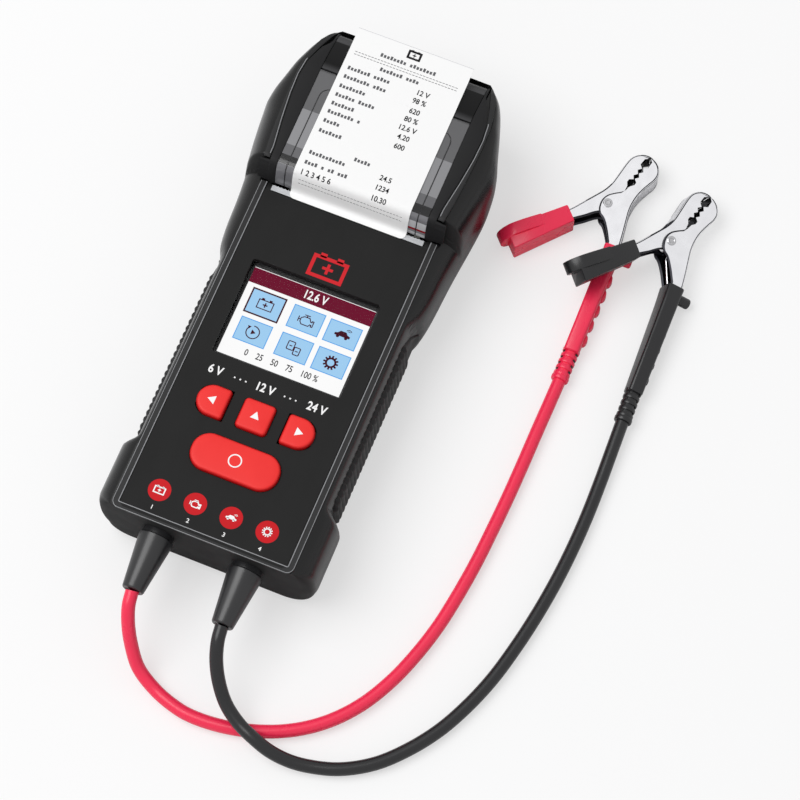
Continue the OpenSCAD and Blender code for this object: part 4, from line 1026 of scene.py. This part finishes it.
# painted shade along the receipt's top edge
ink("receipt_top_edge_shade", boxes((-PAPER_HW, SHEET_END - 0.22, PAPER_HW, SHEET_END)), PRINTED,
    PAPER_EDGE_SHADE, "printer_lid")


# ---- clamps ----
JAW_Z, INNER_Z = (0.6, 11.6), (1.8, 10.4)
TILT, TURN = math.radians(21.4), math.radians(2)
MOUTH = np.array([(5.2, 9.4), (10.6, 30.2)])
BITE = np.array([(0, 0.12), (0.13, 0.6), (0.21, 1.9), (0.28, 1.9), (0.34, 0.12), (0.42, 1.4),
    (0.5, 0.12), (0.58, 1.4), (0.66, 0.12), (0.73, 2), (0.88, 1.9), (0.96, 0.12)])
FIXED_BACK = [(11.8, 8.6), (13.3, 12.8), (14.9, 16.2), (16.3, 19), (16.9, 21.6), (16.7, 23.8),
    (15.8, 25.8)]
SWING_BACK = [(5.4, 29.8), (3.2, 28.3), (1.6, 26.1), (0.5, 22.6), (-0.8, 16.5), (-2.2, 10.6)]
RELIEF, RING_PITCH = (10.4, -73.9, 3.95), 3.1
SHEET_T = 0.9
RED_AT, BLACK_AT, TILT_X = (104, 108.5), (133.5, 99.5), 14.4


def at_red(points):
    return points + (*RED_AT, 0)


def at_black(points):
    """Turned TILT about the line along the handle at TILT_X, then TURN about the vertical."""
    x, y, z = points[..., 0] - TILT_X, points[..., 1], points[..., 2]
    c, s = math.cos(TILT), math.sin(TILT)
    x, z = x * c + z * s + TILT_X, z * c - x * s
    return surface(x * math.cos(TURN) - y * math.sin(TURN) + BLACK_AT[0],
        x * math.sin(TURN) + y * math.cos(TURN) + BLACK_AT[1], z)


def teeth(side):
    """One side of the bite: distances along the mouth and half gaps, off its middle line."""
    along = MOUTH[1] - MOUTH[0]
    across = np.array([along[1], -along[0]]) / np.linalg.norm(along)
    return MOUTH[0] + along * BITE[:, :1] + across * side * BITE[:, 1:]


FIXED_EDGE = np.vstack([curve_through([(12.6, 28.9), (14.4, 27.6)] + FIXED_BACK[::-1]
    + [(11, 4), (10.9, 0), (11.5, -5), (12.4, -12), (13, -18)], 4), [(13, -70), (7.6, -70)],
    curve_through([(7, -18.5), (3.8, -12.5), (0.6, -8), (-1.6, -6.4), (-3, -3.6), (-3.2, 0.6),
        (-1.8, 3.8), (1, 6.2), (3.6, 7.8)], 4)])
SWING_EDGE = np.vstack([curve_through([(12.3, 29.5), (10.6, 30.4), (8, 30.6)] + SWING_BACK
    + [(-4.2, 6.4), (-6.9, 2.6), (-10.2, -1.8), (-15.7, -9), (-22, -14.8)], 4),
    [(-33, -24.4), (-29.2, -28.6)], curve_through([(-18, -18.4), (-12, -12.9), (-8, -9.8),
        (-2.6, -5.4), (2.2, -4.4), (4.8, -1), (4.6, 4)], 4)])


def sheet_plate(outline, z, rim):
    """Pressed sheet 0.9 thick: its face drawn in by rim, and apart from it the chamfer round it,
    its edge and its underside, which the jaw gives painted shade."""
    face, under = at(z, outline - normals_2d(outline) * rim[:, None]), at(z - SHEET_T, outline)
    edge = grid(np.stack([under, at(z - 0.4, outline), face]), closed=True)
    indices = list(range(len(outline)))
    return (face, [indices]), [edge, (under, [indices[::-1]])]


def tapered(points):
    """Brings the long handle's top down from 11.6 to 7.6 at its end, as its sleeve falls."""
    fall = np.clip((-18 - points[:, 1]) / 52, 0, 1) * (JAW_Z[1] - 7.6)
    x, y, z = points.T
    return surface(x, y, np.where(z > 3, z - fall * z / JAW_Z[1], z))


def strip_wall(line, inset, low, high):
    """Upright wall 0.4 thick that follows an open plan line, inset to its left."""
    side = -normals_2d(line, closed=False)
    a, b = line + side * inset, line + side * (inset + 0.4)
    return prism(np.vstack([a, b[::-1]]), low, high, 0.02, steps=1)


def jaw(colour, name, place, body, edge, levels, backs):
    """A pressed jaw channel: bright top sheet, walls along its back edges with a bright rolled
    line, and painted shade in dark steel over the chamfers, the lower sheet, the inner walls and
    the lining behind the teeth."""
    fixed = name == "fixed"
    side = 1 if fixed else -1
    outline = np.vstack([edge, teeth(side)])[::-side]
    rim = np.full(len(outline), 0.75)
    rim[slice(len(BITE)) if fixed else slice(-len(BITE), None)] = 0.12
    low, high = levels
    face, shade_rim = sheet_plate(outline, high, rim)
    low_face, low_shade_rim = sheet_plate(outline, low + SHEET_T, rim)
    # painted shade: chamfers, lower sheet, inner walls and mouth lining of the shadowed channel
    bright, dark = [face], shade_rim + [low_face] + low_shade_rim
    for back in backs:
        line = curve_through(back, 4)
        bright.append(strip_wall(line, 0.03, low + 0.2, high - 0.55))
        dark.append(strip_wall(line, 0.45, low + 0.2, high - 0.3))
        roll = line - normals_2d(line, closed=False) * 0.28
        bright.append(swept(at(high - 0.5, roll), circle(0.27, 8)))
    # lining behind the teeth: painted shadow in the mouth's gaps
    bite = teeth(side)
    bite = bite - normals_2d(bite, closed=False) * side * 0.05
    dark.append(grid(np.stack([at(low + 0.3, bite), at(high - 0.25, bite)]), flip=fixed))
    for parts, finish, label in ((bright, PLATED, "plate"), (dark, SHADE_STEEL, "inside")):
        parts = moved(tapered, parts) if fixed else parts
        piece(f"{colour}_{name}_jaw_{label}", moved(place, parts), finish, body,
            [f"{colour}_{name}_jaw"] if finish is PLATED else (), smooth=30, weld=False)


def rivet(colour, place):
    """Small turned rivet head with a rolled ring round a dimple."""
    profile = [(0, -12.3), (2.6, -12.3), (2.6, -11.8), (1.5, -11.7), (1.5, -0.1), (2.3, 0),
        (2.25, 0.35), (1.9, 0.6), (1.45, 0.62), (1.15, 0.4), (1.05, 0.2), (0.5, 0.14), (0, 0.12)]
    head = turned(profile, (0, 0, JAW_Z[1]), (0, 0, 1), 40)
    piece(colour + "_rivet_head", moved(place, [head]), STEEL, replaces=[colour + "_rivet"],
        smooth=25)


def lofted(sections, radius):
    """Rounded bar along -Y through sections (y, x0, z0, x1, z1); its ends draw in as they round."""
    first, last = sections[0], sections[-1]
    draw = [(0.5 * (1 - math.cos(a)), 0.5 * (1 - math.sin(a)))
        for a in np.linspace(0, math.pi / 2, 4)]
    rows = [(first[0] - back, inset, first) for back, inset in draw]
    rows += [(s[0], 0, s) for s in sections[1:-1]]
    rows += [(last[0] + back, inset, last) for inset, back in draw]
    rings = []
    for y, inset, (_, x0, z0, x1, z1) in rows:
        ring = rounded_rect(x0 + inset, z0 + inset, x1 - inset, z1 - inset,
            max(radius - inset, 0.15), 5)
        rings.append(surface(ring[:, 0], y, ring[:, 1]))
    return capped(np.stack(rings))


def long_grip(colour, place, finish):
    """Sleeve on the long handle: a tapering bar with rounded edges, five thumb lobes low on the
    right, a straight peg, four rings with slots between them, and a collar round the lead."""
    bar = lofted([(-19.1, 6, 0, 14.4, 12.2), (-28, 6.35, 0, 14.2, 11.6), (-50, 6.6, 0, 14.1, 10.1),
        (-74.2, 6.8, 0, 14, 8.4)], 1.7)
    lobe = circle(1, 24) * (1.35, 2.6) + (14.1, -34)
    lobes = [prism(lobe - (0, i * 8.0), 0.7, 6.3 - i * 0.3, 0.6) for i in range(5)]
    peg = turned([(0, -1.5), (2.5, -1.5), (2.5, 6.2), (2.3, 6.7), (1.8, 7.05), (0, 7.1)],
        (13.6, -22.4, 5.4), (1, 0, 0), 28)
    profile, slots = [(0, -1), (4.1, -1), (4.0, 0.4)], []
    for s in 0.5 + RING_PITCH * np.arange(4):
        profile += [(3.3, s), (3.3, s + 1.15), (3.8, s + 1.25), (3.95, s + 1.6), (3.95, s + 2.6),
            (3.8, s + 3.05)]
        for start, stop in ((-35, 42), (138, 172)):
            slot = arc((RELIEF[0], RELIEF[2]), 3.6, start, stop)
            y = RELIEF[1] - s - np.array([[0.02], [1.2]])
            slots.append(grid(surface(slot[:, 0], y, slot[:, 1]), flip=True))
    profile += [(4.05, 13), (4.2, 13.4), (4.15, 14.8), (3.9, 15.2), (3.2, 15.3), (0, 15.3)]
    relief = turned(profile, RELIEF, (0, -1, 0), 48)
    piece(colour + "_long_grip", moved(place, [bar, *lobes, peg, relief]), finish,
        replaces=[colour + "_long_sleeve"], smooth=35, weld=False)
    piece(colour + "_relief_slots", moved(place, slots), DARK_SLOT, weld=False)


def short_grip(colour, place, finish, body):
    """Sleeve on the short handle: a flaring box with crisp edges, and a thumb rest that leaves its
    top half way along and curls over its end. u runs out along the handle and v across it."""
    start, turn = (-14.2, -10.9), 43.3 - 180

    def local(points):
        return place(at(points[:, 2], points[:, :2] @ turned_by(turn) + start))

    rings = []
    for u, v0, v1, inset in ((0.1, -4.1, 4.6, 0.5), (0.25, -4.1, 4.6, 0.15), (0.6, -4.1, 4.6, 0),
            (15, -4, 6.0, 0), (31.0, -3.9, 7.6, 0), (31.35, -3.9, 7.6, 0.15),
            (31.5, -3.9, 7.6, 0.5)):
        ring = rounded_rect(v0 + inset, inset, v1 - inset, 12.2 - inset, 0.55, 4)
        rings.append(surface(u, ring[:, 0], ring[:, 1]))
    side = np.vstack([[(13, 10.8)],
        curve_through([(13.5, 12.25), (18, 12.9), (24, 13.4), (28.6, 13.2)], 4),
        curve_through([(30.2, 12.7), (32.6, 11.4), (34.7, 9.2), (35.7, 6.6), (35.5, 4.1), (34, 2.3),
            (31, 1.6)], 4), [(29, 1.6), (29, 10.8)]])
    rest = moved(lambda p: surface(p[:, 0], -p[:, 2], p[:, 1]),
        [prism(side[::-1], -1.6, 4.4, 0.45)])
    piece(colour + "_short_grip", moved(local, [capped(np.stack(rings))] + rest), finish, body,
        [colour + "_short_sleeve"], smooth=24, weld=False)


FIXED_WALL = [(13, -19), (13, -18), (12.4, -12), (11.5, -5), (10.9, 0), (11, 4), (11.8, 8.6)]
SWING_WALL = [(-10.2, -1.8), (-15.7, -9), (-22, -14.8)]
for colour, place, rubber, cable in (("red", at_red, RED_RUBBER, red_lead),
        ("black", at_black, BLACK_RUBBER, black_lead)):
    jaw(colour, "fixed", place, "housing", FIXED_EDGE, JAW_Z, [FIXED_BACK, FIXED_WALL])
    jaw(colour, "swing", place, colour + "_jaw", SWING_EDGE, INNER_Z, [SWING_BACK, SWING_WALL])
    rivet(colour, place)
    long_grip(colour, place, rubber)
    short_grip(colour, place, rubber, colour + "_jaw")
    declare(*cable, colour)


# ---- finishes of the frame's own nodes ----
def dress(finish, *nodes):
    for node in nodes:
        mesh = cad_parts[node].data
        mesh.materials.clear()
        mesh.materials.append(finish.material)


dress(SHELL, "front_shell", "back_shell")
dress(FACE, "face_plate")
dress(ARM, "lid_frame")
dress(TRIM, "face_trim", "head_trim")
dress(KEY, "key_left", "key_up", "key_right", "key_enter")
dress(MARK, "mark_lenses")
dress(GRIP, "left_grip", "right_grip", "platen_roller")
dress(BLACK_PART, "key_switches", "buzzer", "paper_tub", "lcd_module")
dress(WHITE_PART, "lcd_frame", "platen_gear", "idler_gear", "mark_leds")
dress(GLASS, "screen_window")
dress(BOARD, "main_board")
dress(STEEL, "lid_pin", "platen_shaft", "shell_screws", "feed_motor", "printer_chassis")
dress(BAR_STEEL, "tear_bar")
dress(BRASS, "motor_pinion")
dress(CERAMIC, "print_head")
dress(PAPER, "paper_roll", "paper_web", "receipt")
dress(CARD, "paper_core")
dress(GLOSS, "lid_cap", "lid_window")
dress(BOOT, "left_boot", "right_boot")
dress(RED_RUBBER, "red_lead", "red_long_sleeve", "red_short_sleeve")
dress(BLACK_RUBBER, "black_lead", "black_long_sleeve", "black_short_sleeve")
dress(PLATED, *(c + p for c in ("red_", "black_")
    for p in ("fixed_jaw", "swing_jaw", "rivet", "spring")))


# ---- floor, light and world ----
def studio():
    """Pale floor that keeps a light shadow, a broad soft lamp from the upper left, a white sky."""
    half, below, own_light, dim_sky = 4, 0.0008, 0.56, 0.5
    floor = bpy.data.meshes.new("floor")
    floor.from_pydata(at(-below, box_2d(-half, -half, half, half)).tolist(), [], [(0, 1, 2, 3)])
    paint = Paint("floor", Base_Color=(0.93, 0.93, 0.935), Roughness=0.9, Specular_IOR_Level=0.0)
    lit = Value(paint, paint.shader.outputs[0])
    blend = paint.node("MixShader", None,
        {0: paint.seen_by("Camera") * own_light, 1: lit, 2: paint.node("Emission")})
    paint.feed(paint.tree.nodes["Material Output"].inputs[0], blend)
    floor.materials.append(paint.material)
    ground = bpy.data.objects.new("floor", floor)
    data = bpy.data.lights.new("window_light", "AREA")
    data.shape, data.size, data.energy = "DISK", 2.2, 50
    lamp = bpy.data.objects.new("window_light", data)
    lamp.location = (-1.2, -0.35, 2.5)
    lamp.rotation_euler = (Vector((0.05, 0, 0)) - lamp.location).to_track_quat("-Z", "Y").to_euler()
    for made in (ground, lamp):
        bpy.context.scene.collection.objects.link(made)
    world = bpy.data.worlds.new("sky")
    world.use_nodes = True
    sky, background = Nodes(world.node_tree), world.node_tree.nodes["Background"]
    sky.feed(background.inputs["Color"], (1, 1, 1))
    seen = sky.seen_by("Camera", "Glossy", "Transmission")
    sky.feed(background.inputs["Strength"], seen * (1 - dim_sky) + dim_sky)
    bpy.context.scene.world = world
    bpy.context.scene.view_settings.view_transform = "Standard"


studio()
